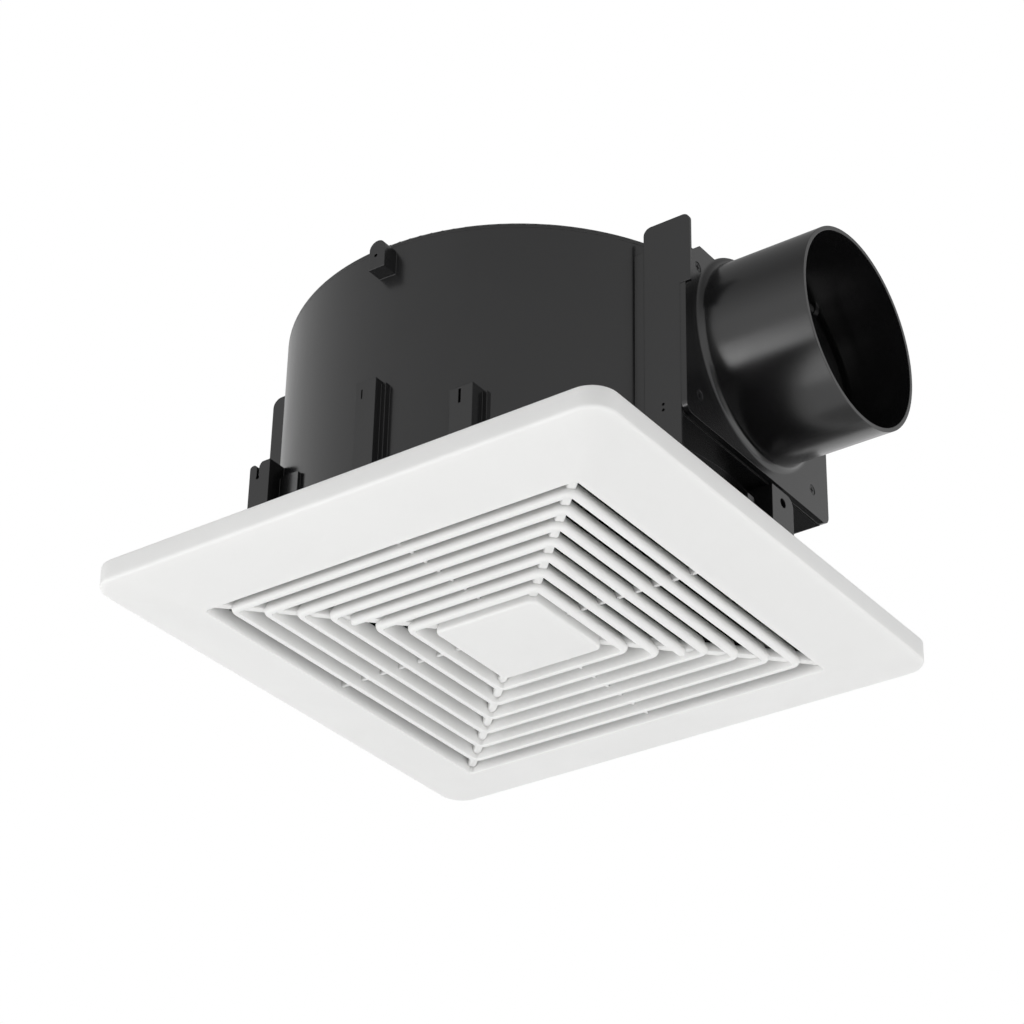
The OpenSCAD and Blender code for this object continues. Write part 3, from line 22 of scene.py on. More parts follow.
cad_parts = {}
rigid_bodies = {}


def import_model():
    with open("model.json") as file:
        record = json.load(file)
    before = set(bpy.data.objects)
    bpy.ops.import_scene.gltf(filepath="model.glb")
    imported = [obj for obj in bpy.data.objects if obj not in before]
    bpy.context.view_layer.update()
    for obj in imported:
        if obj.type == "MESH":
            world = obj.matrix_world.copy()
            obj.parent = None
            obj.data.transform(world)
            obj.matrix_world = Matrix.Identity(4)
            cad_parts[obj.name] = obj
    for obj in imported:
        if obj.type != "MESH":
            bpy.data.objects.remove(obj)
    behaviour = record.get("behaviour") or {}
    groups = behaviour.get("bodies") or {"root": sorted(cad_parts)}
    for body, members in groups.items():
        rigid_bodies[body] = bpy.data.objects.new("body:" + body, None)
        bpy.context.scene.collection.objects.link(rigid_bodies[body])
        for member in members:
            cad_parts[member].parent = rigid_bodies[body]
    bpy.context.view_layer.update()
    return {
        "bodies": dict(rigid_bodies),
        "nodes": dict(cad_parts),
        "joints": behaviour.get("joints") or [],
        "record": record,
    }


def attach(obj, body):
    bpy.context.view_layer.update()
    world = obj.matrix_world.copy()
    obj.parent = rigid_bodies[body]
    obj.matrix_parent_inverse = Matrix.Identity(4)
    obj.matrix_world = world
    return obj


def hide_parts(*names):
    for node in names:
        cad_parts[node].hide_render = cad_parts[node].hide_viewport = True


log = logging.getLogger("exhaust_fan")

MM = 0.001
MERGE_DISTANCE = 1e-6
SHARP_ANGLE = 40.0
DUST_COLOUR = (0.42, 0.41, 0.39)
GLOW_DEPTH = 0.003

Colour = tuple[float, float, float]
Point = tuple[float, float, float]
Socket = bpy.types.NodeSocket


class Slot(str, Enum):
    """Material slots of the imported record."""

    WHITE_PLASTIC = "white_plastic"
    BLACK_PLASTIC = "black_plastic"
    WHEEL_PLASTIC = "wheel_plastic"
    GALVANISED = "galvanised_steel"
    BRIGHT_STEEL = "bright_steel"
    SPRING_STEEL = "spring_steel"
    ZINC = "zinc"
    BLACK_STEEL = "blackened_steel"
    CORE_STEEL = "core_steel"
    COPPER = "copper"
    RUBBER = "rubber"
    FOAM = "foam"
    CABLE = "cable_pvc"
    FUSE = "fuse_body"
    TERMINAL = "terminal_plastic"
    CAN = "capacitor_can"


class Body(str, Enum):
    """Bodies of the mechanism."""

    HOUSING = "housing"
    GRILLE = "grille"
    IMPELLER = "impeller"
    DAMPER = "damper"


class Texture(Enum):
    """What a finish shows from close by."""

    MOULDED = "moulded"
    SPANGLED = "spangled"
    TURNED = "turned"
    LAMINATED = "laminated"
    WOUND = "wound"
    CELLULAR = "cellular"


# Shader node helpers


def place(
    tree: bpy.types.NodeTree, kind: str, settings: dict | None = None, inputs: dict | None = None
) -> bpy.types.Node:
    """Adds a node to a tree.

    Args:
        tree: The node tree.
        kind: The node's type, without its "ShaderNode" prefix where it has one.
        settings: The node's own properties.
        inputs: Its inputs by name or number: a socket to link from, or a value.

    Returns:
        The new node.
    """
    node = tree.nodes.new(kind if kind.startswith("NodeGroup") else "ShaderNode" + kind)
    for name, value in (settings or {}).items():
        setattr(node, name, value)
    for name, value in (inputs or {}).items():
        if isinstance(value, bpy.types.NodeSocket):
            tree.links.new(value, node.inputs[name])
        else:
            node.inputs[name].default_value = value
    return node


def arithmetic(
    tree: bpy.types.NodeTree, operation: str, first: Socket | float, second: Socket | float
) -> Socket:
    """A clamped Math node's result.

    Args:
        tree: The node tree.
        operation: The Math node's operation.
        first: Its first value.
        second: Its second value.

    Returns:
        The output socket.
    """
    return place(tree, "Math", {"operation": operation, "use_clamp": True}, {0: first, 1: second}).outputs[0]


def mixed(tree: bpy.types.NodeTree, factor: Socket, low: Colour | Socket, high: Colour | Socket) -> Socket:
    """A colour between two others.

    Args:
        tree: The node tree.
        factor: Where between the two it is.
        low: The colour at 0.
        high: The colour at 1.

    Returns:
        The output socket.
    """
    ends = [c if isinstance(c, bpy.types.NodeSocket) else (*c, 1.0) for c in (low, high)]
    node = place(tree, "Mix", {"data_type": "RGBA"}, {0: factor, 6: ends[0], 7: ends[1]})
    return node.outputs[2]


def remapped(
    tree: bpy.types.NodeTree,
    value: Socket,
    low: float,
    high: float,
    start: float | Socket = 0.0,
    stop: float = 1.0,
) -> Socket:
    """A value stretched from one range to another.

    Args:
        tree: The node tree.
        value: The value.
        low: The input that becomes start.
        high: The input that becomes stop.
        start: The result at low.
        stop: The result at high.

    Returns:
        The output socket.
    """
    return place(tree, "MapRange", None, {0: value, 1: low, 2: high, 3: start, 4: stop}).outputs[0]


def new_group(
    name: str,
    inputs: Sequence[tuple[str, str, object]],
    outputs: Sequence[tuple[str, str]],
    wire: Callable[[bpy.types.NodeTree, dict[str, Socket]], dict[str, Socket]],
) -> bpy.types.NodeTree:
    """Makes a shader node group.

    Args:
        name: The group's name.
        inputs: Name, kind and default of each input.
        outputs: Name and kind of each output.
        wire: Builds the nodes from the inputs' sockets, and returns the outputs' sockets by name.

    Returns:
        The group.
    """
    tree = bpy.data.node_groups.new(name, "ShaderNodeTree")
    for label, kind, default in inputs:
        socket = tree.interface.new_socket(label, in_out="INPUT", socket_type="NodeSocket" + kind)
        if default is not None:
            socket.default_value = default
    for label, kind in outputs:
        tree.interface.new_socket(label, in_out="OUTPUT", socket_type="NodeSocket" + kind)
    entry = place(tree, "NodeGroupInput")
    results = wire(tree, {label: entry.outputs[label] for label, _, _ in inputs})
    place(tree, "NodeGroupOutput", None, results)
    return tree


@dataclass
class Effects:
    """The effects that several finishes share, each a node group made once."""

    moulded: bpy.types.NodeTree | None = None
    spangled: bpy.types.NodeTree | None = None
    turned: bpy.types.NodeTree | None = None
    laminated: bpy.types.NodeTree | None = None
    wound: bpy.types.NodeTree | None = None
    cellular: bpy.types.NodeTree | None = None
    relief: bpy.types.NodeTree | None = None
    edges: bpy.types.NodeTree | None = None
    dust: bpy.types.NodeTree | None = None

    def build(self) -> None:
        """Makes all the groups."""
        surface = [("Place", "Vector", None), ("Scale", "Float", 1.0)]
        results = [("Height", "Float"), ("Shade", "Float")]
        self.moulded = new_group("moulded_skin", surface, results, self._moulded)
        self.spangled = new_group("zinc_spangle", surface, results, self._spangled)
        self.turned = new_group("turned_lines", surface, results, self._turned)
        self.laminated = new_group("stacked_sheets", surface, results, self._laminated)
        self.wound = new_group("wound_wire", surface, results, self._wound)
        self.cellular = new_group("open_cells", surface, results, self._cellular)
        self.relief = new_group(
            "soft_relief",
            [("Height", "Float", 0.0), ("Depth", "Float", 0.0001), ("Radius", "Float", 0.0004)],
            [("Normal", "Vector")],
            self._relief,
        )
        self.edges = new_group(
            "rubbed_edges",
            [("Place", "Vector", None), ("Radius", "Float", 0.0006), ("Amount", "Float", 0.3)],
            [("Mask", "Float")],
            self._edges,
        )
        self.dust = new_group(
            "settled_dust",
            [("Place", "Vector", None), ("Amount", "Float", 0.2)],
            [("Mask", "Float")],
            self._dust,
        )

    def texture(self, kind: Texture) -> bpy.types.NodeTree:
        """The group that draws a texture."""
        return {
            Texture.MOULDED: self.moulded,
            Texture.SPANGLED: self.spangled,
            Texture.TURNED: self.turned,
            Texture.LAMINATED: self.laminated,
            Texture.WOUND: self.wound,
            Texture.CELLULAR: self.cellular,
        }[kind]

    @staticmethod
    def _moulded(tree: bpy.types.NodeTree, given: dict[str, Socket]) -> dict[str, Socket]:
        """Spark-eroded grain with broad, faint flow marks."""
        where = given["Place"]
        grain = {"Vector": where, "Scale": given["Scale"], "Detail": 2.0, "Roughness": 0.6}
        fine = place(tree, "TexNoise", None, grain)
        flow = {"Vector": where, "Scale": 14.0, "Detail": 3.0, "Distortion": 0.8}
        broad = place(tree, "TexNoise", None, flow)
        marks = remapped(tree, broad.outputs[0], low=0.35, high=0.65)
        return {"Height": fine.outputs[0], "Shade": marks}

    @staticmethod
    def _spangled(tree: bpy.types.NodeTree, given: dict[str, Socket]) -> dict[str, Socket]:
        """Crystals of hot-dip zinc."""
        pattern = {"Vector": given["Place"], "Scale": given["Scale"]}
        cells = place(tree, "TexVoronoi", {"feature": "F1"}, pattern)
        grey = place(tree, "SeparateColor", None, {0: cells.outputs["Color"]})
        fine = place(tree, "TexNoise", None, {"Vector": given["Place"], "Scale": 1400.0})
        return {"Height": fine.outputs[0], "Shade": grey.outputs[0]}

    @staticmethod
    def _turned(tree: bpy.types.NodeTree, given: dict[str, Socket]) -> dict[str, Socket]:
        """Fine lines left by a lathe or a drawing die."""
        squeezed = place(tree, "Mapping", None, {"Vector": given["Place"], "Scale": (0.2, 0.2, 1.0)})
        scratches = {"Vector": squeezed.outputs[0], "Scale": given["Scale"], "Detail": 4.0}
        lines = place(tree, "TexNoise", None, scratches)
        return {"Height": lines.outputs[0], "Shade": remapped(tree, lines.outputs[0], low=0.3, high=0.7)}

    @staticmethod
    def _laminated(tree: bpy.types.NodeTree, given: dict[str, Socket]) -> dict[str, Socket]:
        """Edges of thin steel sheets stacked along Z."""
        sheets = place(
            tree,
            "TexWave",
            {"bands_direction": "Z", "wave_profile": "SAW"},
            {"Vector": given["Place"], "Scale": given["Scale"], "Distortion": 0.05},
        )
        stain = place(tree, "TexNoise", None, {"Vector": given["Place"], "Scale": 90.0, "Detail": 4.0})
        return {"Height": sheets.outputs["Fac"], "Shade": stain.outputs[0]}

    @staticmethod
    def _wound(tree: bpy.types.NodeTree, given: dict[str, Socket]) -> dict[str, Socket]:
        """Turns of enamelled wire laid round the Z axis."""
        wire = place(
            tree,
            "TexWave",
            {"wave_type": "RINGS", "rings_direction": "Z"},
            {"Vector": given["Place"], "Scale": given["Scale"], "Distortion": 1.2, "Detail Scale": 6.0},
        )
        tint = place(tree, "TexNoise", None, {"Vector": given["Place"], "Scale": 60.0})
        return {"Height": wire.outputs["Fac"], "Shade": tint.outputs[0]}

    @staticmethod
    def _cellular(tree: bpy.types.NodeTree, given: dict[str, Socket]) -> dict[str, Socket]:
        """Open cells of foam."""
        pattern = {"Vector": given["Place"], "Scale": given["Scale"]}
        cells = place(tree, "TexVoronoi", {"feature": "F1"}, pattern)
        shade = remapped(tree, cells.outputs["Distance"], low=0.0, high=0.7)
        return {"Height": cells.outputs["Distance"], "Shade": shade}

    @staticmethod
    def _relief(tree: bpy.types.NodeTree, given: dict[str, Socket]) -> dict[str, Socket]:
        """Normals of the texture, with the edges of the solid rounded off."""
        rounded = place(tree, "Bevel", {"samples": 6}, {"Radius": given["Radius"]})
        inputs = {"Height": given["Height"], "Distance": given["Depth"], "Normal": rounded.outputs[0]}
        bump = place(tree, "Bump", None, inputs)
        return {"Normal": bump.outputs[0]}

    @staticmethod
    def _edges(tree: bpy.types.NodeTree, given: dict[str, Socket]) -> dict[str, Socket]:
        """Edges that handling has rubbed."""
        rounded = place(tree, "Bevel", {"samples": 4}, {"Radius": given["Radius"]})
        flat = place(tree, "NewGeometry")
        normals = {0: rounded.outputs[0], 1: flat.outputs["Normal"]}
        match = place(tree, "VectorMath", {"operation": "DOT_PRODUCT"}, normals)
        edge = remapped(tree, match.outputs["Value"], low=0.98, high=0.75)
        breakup = place(tree, "TexNoise", None, {"Vector": given["Place"], "Scale": 160.0, "Detail": 4.0})
        patches = remapped(tree, breakup.outputs[0], low=0.35, high=0.6)
        worn = arithmetic(tree, "MULTIPLY", edge, patches)
        return {"Mask": arithmetic(tree, "MULTIPLY", worn, given["Amount"])}

    @staticmethod
    def _dust(tree: bpy.types.NodeTree, given: dict[str, Socket]) -> dict[str, Socket]:
        """Dust on what faces upward."""
        flat = place(tree, "NewGeometry")
        facing = place(tree, "SeparateXYZ", None, {0: flat.outputs["Normal"]})
        lying = remapped(tree, facing.outputs[2], low=0.55, high=1.0)
        clumps = place(tree, "TexNoise", None, {"Vector": given["Place"], "Scale": 45.0, "Detail": 6.0})
        patches = remapped(tree, clumps.outputs[0], low=0.3, high=0.7)
        grown = arithmetic(tree, "MULTIPLY", lying, patches)
        return {"Mask": arithmetic(tree, "MULTIPLY", grown, given["Amount"])}


@dataclass(frozen=True)
class Finish:
    """One finish: its colours, its gloss and what it shows from close by. Lengths are metres."""

    slot: Slot
    colour: Colour
    second: Colour
    roughness: float
    texture: Texture = Texture.MOULDED
    scale: float = 1500.0
    depth: float = 0.00002
    roughness_swing: float = 0.06
    metallic: float = 0.0
    specular: float = 0.5
    coat: float = 0.0
    glow_through: float = 0.0
    edge_radius: float = 0.0003
    wear: float = 0.15
    wear_colour: Colour = (0.3, 0.3, 0.3)
    dust: float = 0.0

    def build(self, effects: Effects) -> bpy.types.Material:
        """Makes the material.

        Args:
            effects: The shared node groups.

        Returns:
            The material.
        """
        material = bpy.data.materials.new(self.slot.value + "_finish")
        material.use_nodes = True
        tree = material.node_tree
        tree.nodes.clear()
        where = place(tree, "TexCoord").outputs["Object"]
        grain = place(
            tree, "Group", {"node_tree": effects.texture(self.texture)}, {"Place": where, "Scale": self.scale}
        )
        shade = grain.outputs["Shade"]
        colour = mixed(tree, shade, self.colour, self.second)
        if self.wear:
            worn = place(
                tree,
                "Group",
                {"node_tree": effects.edges},
                {"Place": where, "Radius": self.edge_radius * 2, "Amount": self.wear},
            )
            colour = mixed(tree, worn.outputs[0], colour, self.wear_colour)
        if self.dust:
            lying = place(tree, "Group", {"node_tree": effects.dust}, {"Place": where, "Amount": self.dust})
            colour = mixed(tree, lying.outputs[0], colour, DUST_COLOUR)
        swing = self.roughness_swing
        roughness = remapped(
            tree, shade, low=0.0, high=1.0, start=self.roughness - swing, stop=self.roughness + swing
        )
        normal = place(
            tree,
            "Group",
            {"node_tree": effects.relief},
            {"Height": grain.outputs["Height"], "Depth": self.depth, "Radius": self.edge_radius},
        )
        surface = place(
            tree,
            "BsdfPrincipled",
            None,
            {
                "Base Color": colour,
                "Roughness": roughness,
                "Normal": normal.outputs[0],
                "Metallic": self.metallic,
                "Specular IOR Level": self.specular,
                "Coat Weight": self.coat,
                "Subsurface Weight": self.glow_through,
                "Subsurface Radius": (1.0, 1.0, 1.0),
                "Subsurface Scale": GLOW_DEPTH,
            },
        )
        place(tree, "OutputMaterial", None, {"Surface": surface.outputs[0]})
        material.diffuse_color = (*self.colour, 1.0)
        return material


FINISHES = (
    Finish(
        Slot.WHITE_PLASTIC, (0.86, 0.86, 0.85), (0.84, 0.84, 0.83), 0.42,
        scale=1800.0, depth=0.00001, edge_radius=0.0003, wear=0.0, specular=0.4, glow_through=0.7,
    ),
    Finish(
        Slot.BLACK_PLASTIC, (0.0055, 0.0055, 0.0058), (0.0070, 0.0070, 0.0075), 0.22,
        scale=2200.0, depth=0.000006, roughness_swing=0.03, specular=0.7, edge_radius=0.0004, wear=0.04,
        wear_colour=(0.06, 0.06, 0.06), dust=0.02,
    ),
    Finish(
        Slot.WHEEL_PLASTIC, (0.045, 0.046, 0.050), (0.06, 0.06, 0.065), 0.45,
        scale=1200.0, depth=0.00002, edge_radius=0.0002, wear=0.1, dust=0.05,
    ),
    Finish(
        Slot.GALVANISED, (0.50, 0.51, 0.52), (0.66, 0.67, 0.68), 0.38, Texture.SPANGLED,
        scale=160.0, depth=0.00001, metallic=1.0, wear=0.0, roughness_swing=0.1,
    ),
    Finish(
        Slot.BRIGHT_STEEL, (0.62, 0.62, 0.63), (0.74, 0.74, 0.75), 0.22, Texture.TURNED,
        scale=3000.0, depth=0.00001, metallic=1.0, wear=0.0,
    ),
    Finish(
        Slot.SPRING_STEEL, (0.50, 0.50, 0.51), (0.62, 0.62, 0.63), 0.3, Texture.TURNED,
        scale=2500.0, depth=0.00001, metallic=1.0, edge_radius=0.0001, wear=0.0,
    ),
    Finish(
        Slot.ZINC, (0.60, 0.60, 0.58), (0.72, 0.71, 0.66), 0.33, Texture.SPANGLED,
        scale=900.0, depth=0.00001, metallic=1.0, edge_radius=0.00015, wear=0.0,
    ),
    Finish(
        Slot.BLACK_STEEL, (0.010, 0.010, 0.011), (0.018, 0.018, 0.019), 0.36, Texture.TURNED,
        scale=2500.0, depth=0.00001, edge_radius=0.00015, wear=0.1, wear_colour=(0.05, 0.05, 0.05),
    ),
    Finish(
        Slot.CORE_STEEL, (0.20, 0.21, 0.23), (0.30, 0.31, 0.33), 0.42, Texture.LAMINATED,
        scale=640.0, depth=0.00015, metallic=1.0, edge_radius=0.0001, wear=0.0,
    ),
    Finish(
        Slot.COPPER, (0.62, 0.22, 0.09), (0.78, 0.32, 0.15), 0.3, Texture.WOUND,
        scale=500.0, depth=0.0003, metallic=1.0, wear=0.0, coat=0.4,
    ),
    Finish(
        Slot.RUBBER, (0.016, 0.016, 0.016), (0.026, 0.026, 0.026), 0.68,
        scale=900.0, depth=0.00003, specular=0.35, wear=0.0, dust=0.05,
    ),
    Finish(
        Slot.FOAM, (0.035, 0.035, 0.036), (0.010, 0.010, 0.010), 0.9, Texture.CELLULAR,
        scale=1400.0, depth=0.0003, specular=0.2, wear=0.0,
    ),
    Finish(
        Slot.CABLE, (0.030, 0.030, 0.032), (0.042, 0.042, 0.044), 0.44,
        scale=700.0, depth=0.00002, wear=0.0,
    ),
    Finish(
        Slot.FUSE, (0.72, 0.70, 0.62), (0.80, 0.78, 0.70), 0.5,
        scale=1500.0, wear=0.0,
    ),
    Finish(
        Slot.TERMINAL, (0.70, 0.69, 0.62), (0.76, 0.75, 0.68), 0.38,
        scale=1500.0, edge_radius=0.0002, wear=0.1, wear_colour=(0.85, 0.85, 0.8),
    ),
    Finish(
        Slot.CAN, (0.74, 0.74, 0.72), (0.80, 0.80, 0.78), 0.35,
        scale=1300.0, wear=0.0,
    ),
)


# Mesh helpers


def square_loop(
    left: float, right: float, near: float, far: float, radius: float, z: float, steps: int = 6
) -> list[Point]:
    """Outline of a rectangle with round corners, anticlockwise from its +X +Y corner.

    Args:
        left: Distance of the -X side from the middle.
        right: Distance of the +X side.
        near: Distance of the -Y side.
        far: Distance of the +Y side.
        radius: Radius of the corners.
        z: Height of the outline.
        steps: Segments in each corner.

    Returns:
        Its points.
    """
    corners = (
        (right - radius, far - radius, 0),
        (-left + radius, far - radius, 90),
        (-left + radius, -near + radius, 180),
        (right - radius, -near + radius, 270),
    )
    points = []
    for cx, cy, start in corners:
        for i in range(steps + 1):
            angle = math.radians(start + 90 * i / steps)
            points.append((cx + radius * math.cos(angle), cy + radius * math.sin(angle), z))
    return points


def skin(
    bm: bmesh.types.BMesh, loops: Sequence[Sequence[Point]], ring: bool = False, caps: bool = False
) -> None:
    """Lays faces between closed outlines that have the same number of points.

    Args:
        bm: The mesh to add to.
        loops: The outlines, in millimetres.
        ring: Whether the last outline joins the first.
        caps: Whether the first and last outline are filled.
    """
    rows = [[bm.verts.new(Vector(p) * MM) for p in loop] for loop in loops]
    count = len(rows[0])
    for k in range(len(rows) if ring else len(rows) - 1):
        low, high = rows[k], rows[(k + 1) % len(rows)]
        for i in range(count):
            j = (i + 1) % count
            bm.faces.new((low[i], low[j], high[j], high[i]))
    if caps:
        bm.faces.new(rows[0])
        bm.faces.new(reversed(rows[-1]))


def block(bm: bmesh.types.BMesh, centre: Point, size: Point, turn: float, bevel: float) -> None:
    """Adds a box with bevelled edges, turned about Z.

    Args:
        bm: The mesh to add to.
        centre: Its centre, in millimetres.
        size: Its size.
        turn: Its angle about Z, in degrees.
        bevel: Width of the bevel, in millimetres.
    """
    matrix = Matrix.Rotation(math.radians(turn), 4, "Z") @ Matrix.Translation(Vector(centre) * MM)
    matrix = matrix @ Matrix.Diagonal((*(Vector(size) * MM), 1.0))
    made = bmesh.ops.create_cube(bm, size=1.0, matrix=matrix)
    edges = list({e for v in made["verts"] for e in v.link_edges})
    bmesh.ops.bevel(bm, geom=edges, offset=bevel * MM, segments=2, profile=0.5, affect="EDGES")


@dataclass
class Workshop:
    """Turns bmeshes into finished pieces that ride on a body."""

    finishes: dict[Slot, bpy.types.Material]

    def piece(self, name: str, bm: bmesh.types.BMesh, slot: Slot, body: Body) -> bpy.types.Object:
        """Makes an object from a mesh.

        Args:
            name: The piece's name.
            bm: Its mesh, which is freed.
            slot: The slot whose finish it takes.
            body: The body that it rides on.

        Returns:
            The object.
        """
        bmesh.ops.remove_doubles(bm, verts=bm.verts, dist=MERGE_DISTANCE)
        bmesh.ops.recalc_face_normals(bm, faces=bm.faces)
        mesh = bpy.data.meshes.new(name)
        bm.to_mesh(mesh)
        bm.free()
        mesh.shade_smooth()
        mesh.set_sharp_from_angle(angle=math.radians(SHARP_ANGLE))
        mesh.materials.append(self.finishes[slot])
        piece = bpy.data.objects.new(name, mesh)
        bpy.context.scene.collection.objects.link(piece)
        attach(piece, body.value)
        log.info("%s: %d faces on %s", name, len(mesh.polygons), body.value)
        return piece

    def dress(self, node: bpy.types.Object, slot: Slot) -> None:
        """Gives a CAD node a slot's finish.

        Args:
            node: The node's object.
            slot: The slot.
        """
        node.data.materials.clear()
        node.data.materials.append(self.finishes[slot])
        log.info("%s: %s", node.name, slot.value)


@dataclass
class Grille:
    """The white ceiling grille, whose slats are nested squares.

    The near sides are -Y and +X, as seen in the photograph, and the far sides are +Y and -X. A soft
    is the width of a rounded edge, and a recess is a height above the slats' lower edges.
    """

    width: float = 285.0
    height: float = 18.0
    rise: float = 7.0
    corner: float = 12.5
    wall: float = 2.4
    opening: float = 208.0
    opening_corner: float = 2.2
    lip: float = 2.0
    rim_soft: float = 1.6
    edge_soft: float = 0.4
    skirt_foot: float = 1.0
    panel: float = 57.2
    panel_corner: float = 4.0
    recess: float = 0.5
    slat_width: float = 3.8
    slat_top: float = 2.8
    slat_height: float = 8.4
    slat_lean: float = 2.4
    slat_outer_soft: float = 1.9
    slat_outer_rise: float = 2.6
    slat_inner_soft: float = 0.35
    slat_corner_spare: float = 0.5
    slat_tip: float = 1.9
    slat_tip_gap: float = 3.4
    near_count: int = 7
    near_first: float = 6.0
    near_last: float = 5.3
    far_first: float = 7.6
    far_last: float = 7.3
    open_slat: int = 4
    rib: float = 1.6
    rib_recess: float = 4.0
    corner_rib: float = 4.6
    corner_rib_recess: float = 2.7
    corner_rib_soft: float = 1.4
    rib_soft: float = 0.3
    rib_drop: float = 0.5
    rib_shift_x: float = 4.0
    rib_shift_y: float = -2.0
    boss_x: float = 1.75
    boss_y: float = 119.5
    boss_half: float = 1.8
    boss_depth: float = 4.8
    boss_top: float = -8.2
    boss_sink: float = 0.6

    @property
    def half(self) -> float:
        """Half its width."""
        return self.width / 2

    @property
    def hole(self) -> float:
        """Half the opening's width."""
        return self.opening / 2

    @property
    def slat_z(self) -> float:
        """Height of the slats' lower edges."""
        return -self.height + self.recess

    @property
    def slat_roof(self) -> float:
        """Height of the slats' upper edges."""
        return self.slat_z + self.slat_height

    def near_edge(self, k: int) -> float:
        """Distance of slat k's outer edge from the middle, on the two near sides."""
        span = self.hole - self.panel / 2 - self.near_first - self.near_last - self.slat_width
        return self.hole - self.near_first - k * span / (self.near_count - 1)

    def far_edge(self, k: int) -> float:
        """Distance of slat k's outer edge from the middle, on the two far sides."""
        span = self.hole - self.panel / 2 - self.far_first - self.far_last - self.slat_width
        return self.hole - self.far_first - k * span / (self.near_count - 2)

    def rim_z(self, inset: float) -> float:
        """Height of the sloping face at a distance inside the outer edge."""
        return -self.height + self.rise * (1 - inset / (self.half - self.hole))

    def rim_profile(self) -> list[tuple[float, float]]:
        """Section of the rim and its skirt, as inset and height."""
        span = self.half - self.hole
        soft, steps = self.rim_soft, 6
        start, turn, stop = self.rim_z(0) + soft, self.rim_z(0), self.rim_z(soft)
        rounding = []
        for i in range(steps + 1):
            t = i / steps
            z = (1 - t) ** 2 * start + 2 * t * (1 - t) * turn + t * t * stop
            rounding.append((t * t * soft, z))
        lip_edge = [
            (span - 1.1, self.rim_z(span - 1.1)),
            (span - 0.4, self.rim_z(span) + 0.12),
            (span, self.rim_z(span) + 0.7),
        ]
        back = [
            (span, self.slat_roof - 0.3),
            (span - 0.3, self.slat_roof),
            (span - self.lip + 0.3, self.slat_roof),
            (span - self.lip, self.slat_roof - 0.3),
            (span - self.lip, self.rim_z(span - self.lip) + self.wall + 0.5),
            (span - self.lip - 0.6, self.rim_z(span - self.lip) + self.wall),
            (self.wall + self.skirt_foot, self.rim_z(self.wall) + self.wall),
            (self.wall, self.rim_z(self.wall) + self.wall + self.skirt_foot),
            (self.wall, -self.edge_soft),
            (self.wall - self.edge_soft, 0.0),
            (self.edge_soft, 0.0),
            (0.0, -self.edge_soft),
        ]
        return rounding + lip_edge + back

    def rim(self) -> bmesh.types.BMesh:
        """Mesh of the rim and its skirt."""
        bm = bmesh.new()
        span = self.half - self.hole
        loops = []
        for inset, z in self.rim_profile():
            share = min(max(inset / span, 0.0), 1.0)
            radius = self.corner + (self.opening_corner - self.corner) * share
            side = self.half - inset
            loops.append(square_loop(side, side, side, side, radius, z, steps=10))
        skin(bm, loops, ring=True)
        return bm

    def slat_section(self) -> list[tuple[float, float]]:
        """Section of a slat: outward from its lower outer edge, and up."""
        outer, rise, inner = self.slat_outer_soft, self.slat_outer_rise, self.slat_inner_soft
        points = []
        for degrees in range(0, 91, 18):
            angle = math.radians(degrees)
            points.append((outer * (math.cos(angle) - 1), rise * (1 - math.sin(angle))))
        for degrees in range(0, 91, 30):
            angle = math.radians(degrees)
            across = inner - inner * math.sin(angle) - self.slat_width
            points.append((across, inner - inner * math.cos(angle)))
        lean, top, soft = self.slat_lean, self.slat_top, self.edge_soft
        points += [
            (-lean - top, self.slat_height - soft),
            (-lean - top + soft, self.slat_height),
            (-lean - soft, self.slat_height),
            (-lean, self.slat_height - soft),
        ]
        return points

    def closed_slat(self, bm: bmesh.types.BMesh, near: float, far: float) -> None:
        """Adds a slat that runs all the way round.

        Args:
            bm: The mesh to add to.
            near: Distance of its outer edge on the near sides.
            far: Distance of its outer edge on the far sides.
        """
        radius = self.slat_lean + self.slat_top + self.slat_corner_spare
        loops = [
            square_loop(far + s, near + s, near + s, far + s, radius + s, self.slat_z + z)
            for s, z in self.slat_section()
        ]
        skin(bm, loops, ring=True)

    def ended_slat(self, bm: bmesh.types.BMesh, near: float, end: float) -> None:
        """Adds a slat that runs along the two near sides only, with round ends.

        Args:
            bm: The mesh to add to.
            near: Distance of its outer edge.
            end: How far each arm reaches.
        """
        radius = self.slat_lean + self.slat_top + self.slat_corner_spare
        centre = near - radius
        section = self.slat_section()
        middle = -self.slat_width / 2
        tips = [(1.0, 0.25), (0.94, 0.6), (0.75, 0.85), (0.4, 1.0)]
        steps = 6
        loops = []

        def station(x: float, y: float, angle: float, share: float, out: float) -> None:
            """Adds the section at a point, facing an angle, at a share of its thickness."""
            ray = math.radians(angle)
            points = []
            for s, z in section:
                lean = -self.slat_lean * z / self.slat_height
                across = middle + lean + (s - middle - lean) * share + out
                points.append((x + across * math.cos(ray), y + across * math.sin(ray), self.slat_z + z))
            loops.append(points)

        for out, share in tips:
            station(-end - out * self.slat_tip, -near, -90, share, 0.0)
        station(-end, -near, -90, 1.0, 0.0)
        for i in range(steps + 1):
            station(centre, -centre, -90 + 90 * i / steps, 1.0, radius)
        station(near, end, 0, 1.0, 0.0)
        for out, share in reversed(tips):
            station(near, end + out * self.slat_tip, 0, share, 0.0)
        skin(bm, loops, caps=True)

    def slats(self) -> bmesh.types.BMesh:
        """Mesh of all the slats."""
        bm = bmesh.new()
        for k in range(self.near_count):
            if k != self.open_slat:
                far = k if k < self.open_slat else k - 1
                self.closed_slat(bm, self.near_edge(k), self.far_edge(far))
        end = self.far_edge(self.open_slat - 1) - self.slat_lean - self.slat_top - self.slat_tip_gap
        self.ended_slat(bm, self.near_edge(self.open_slat), end)
        return bm

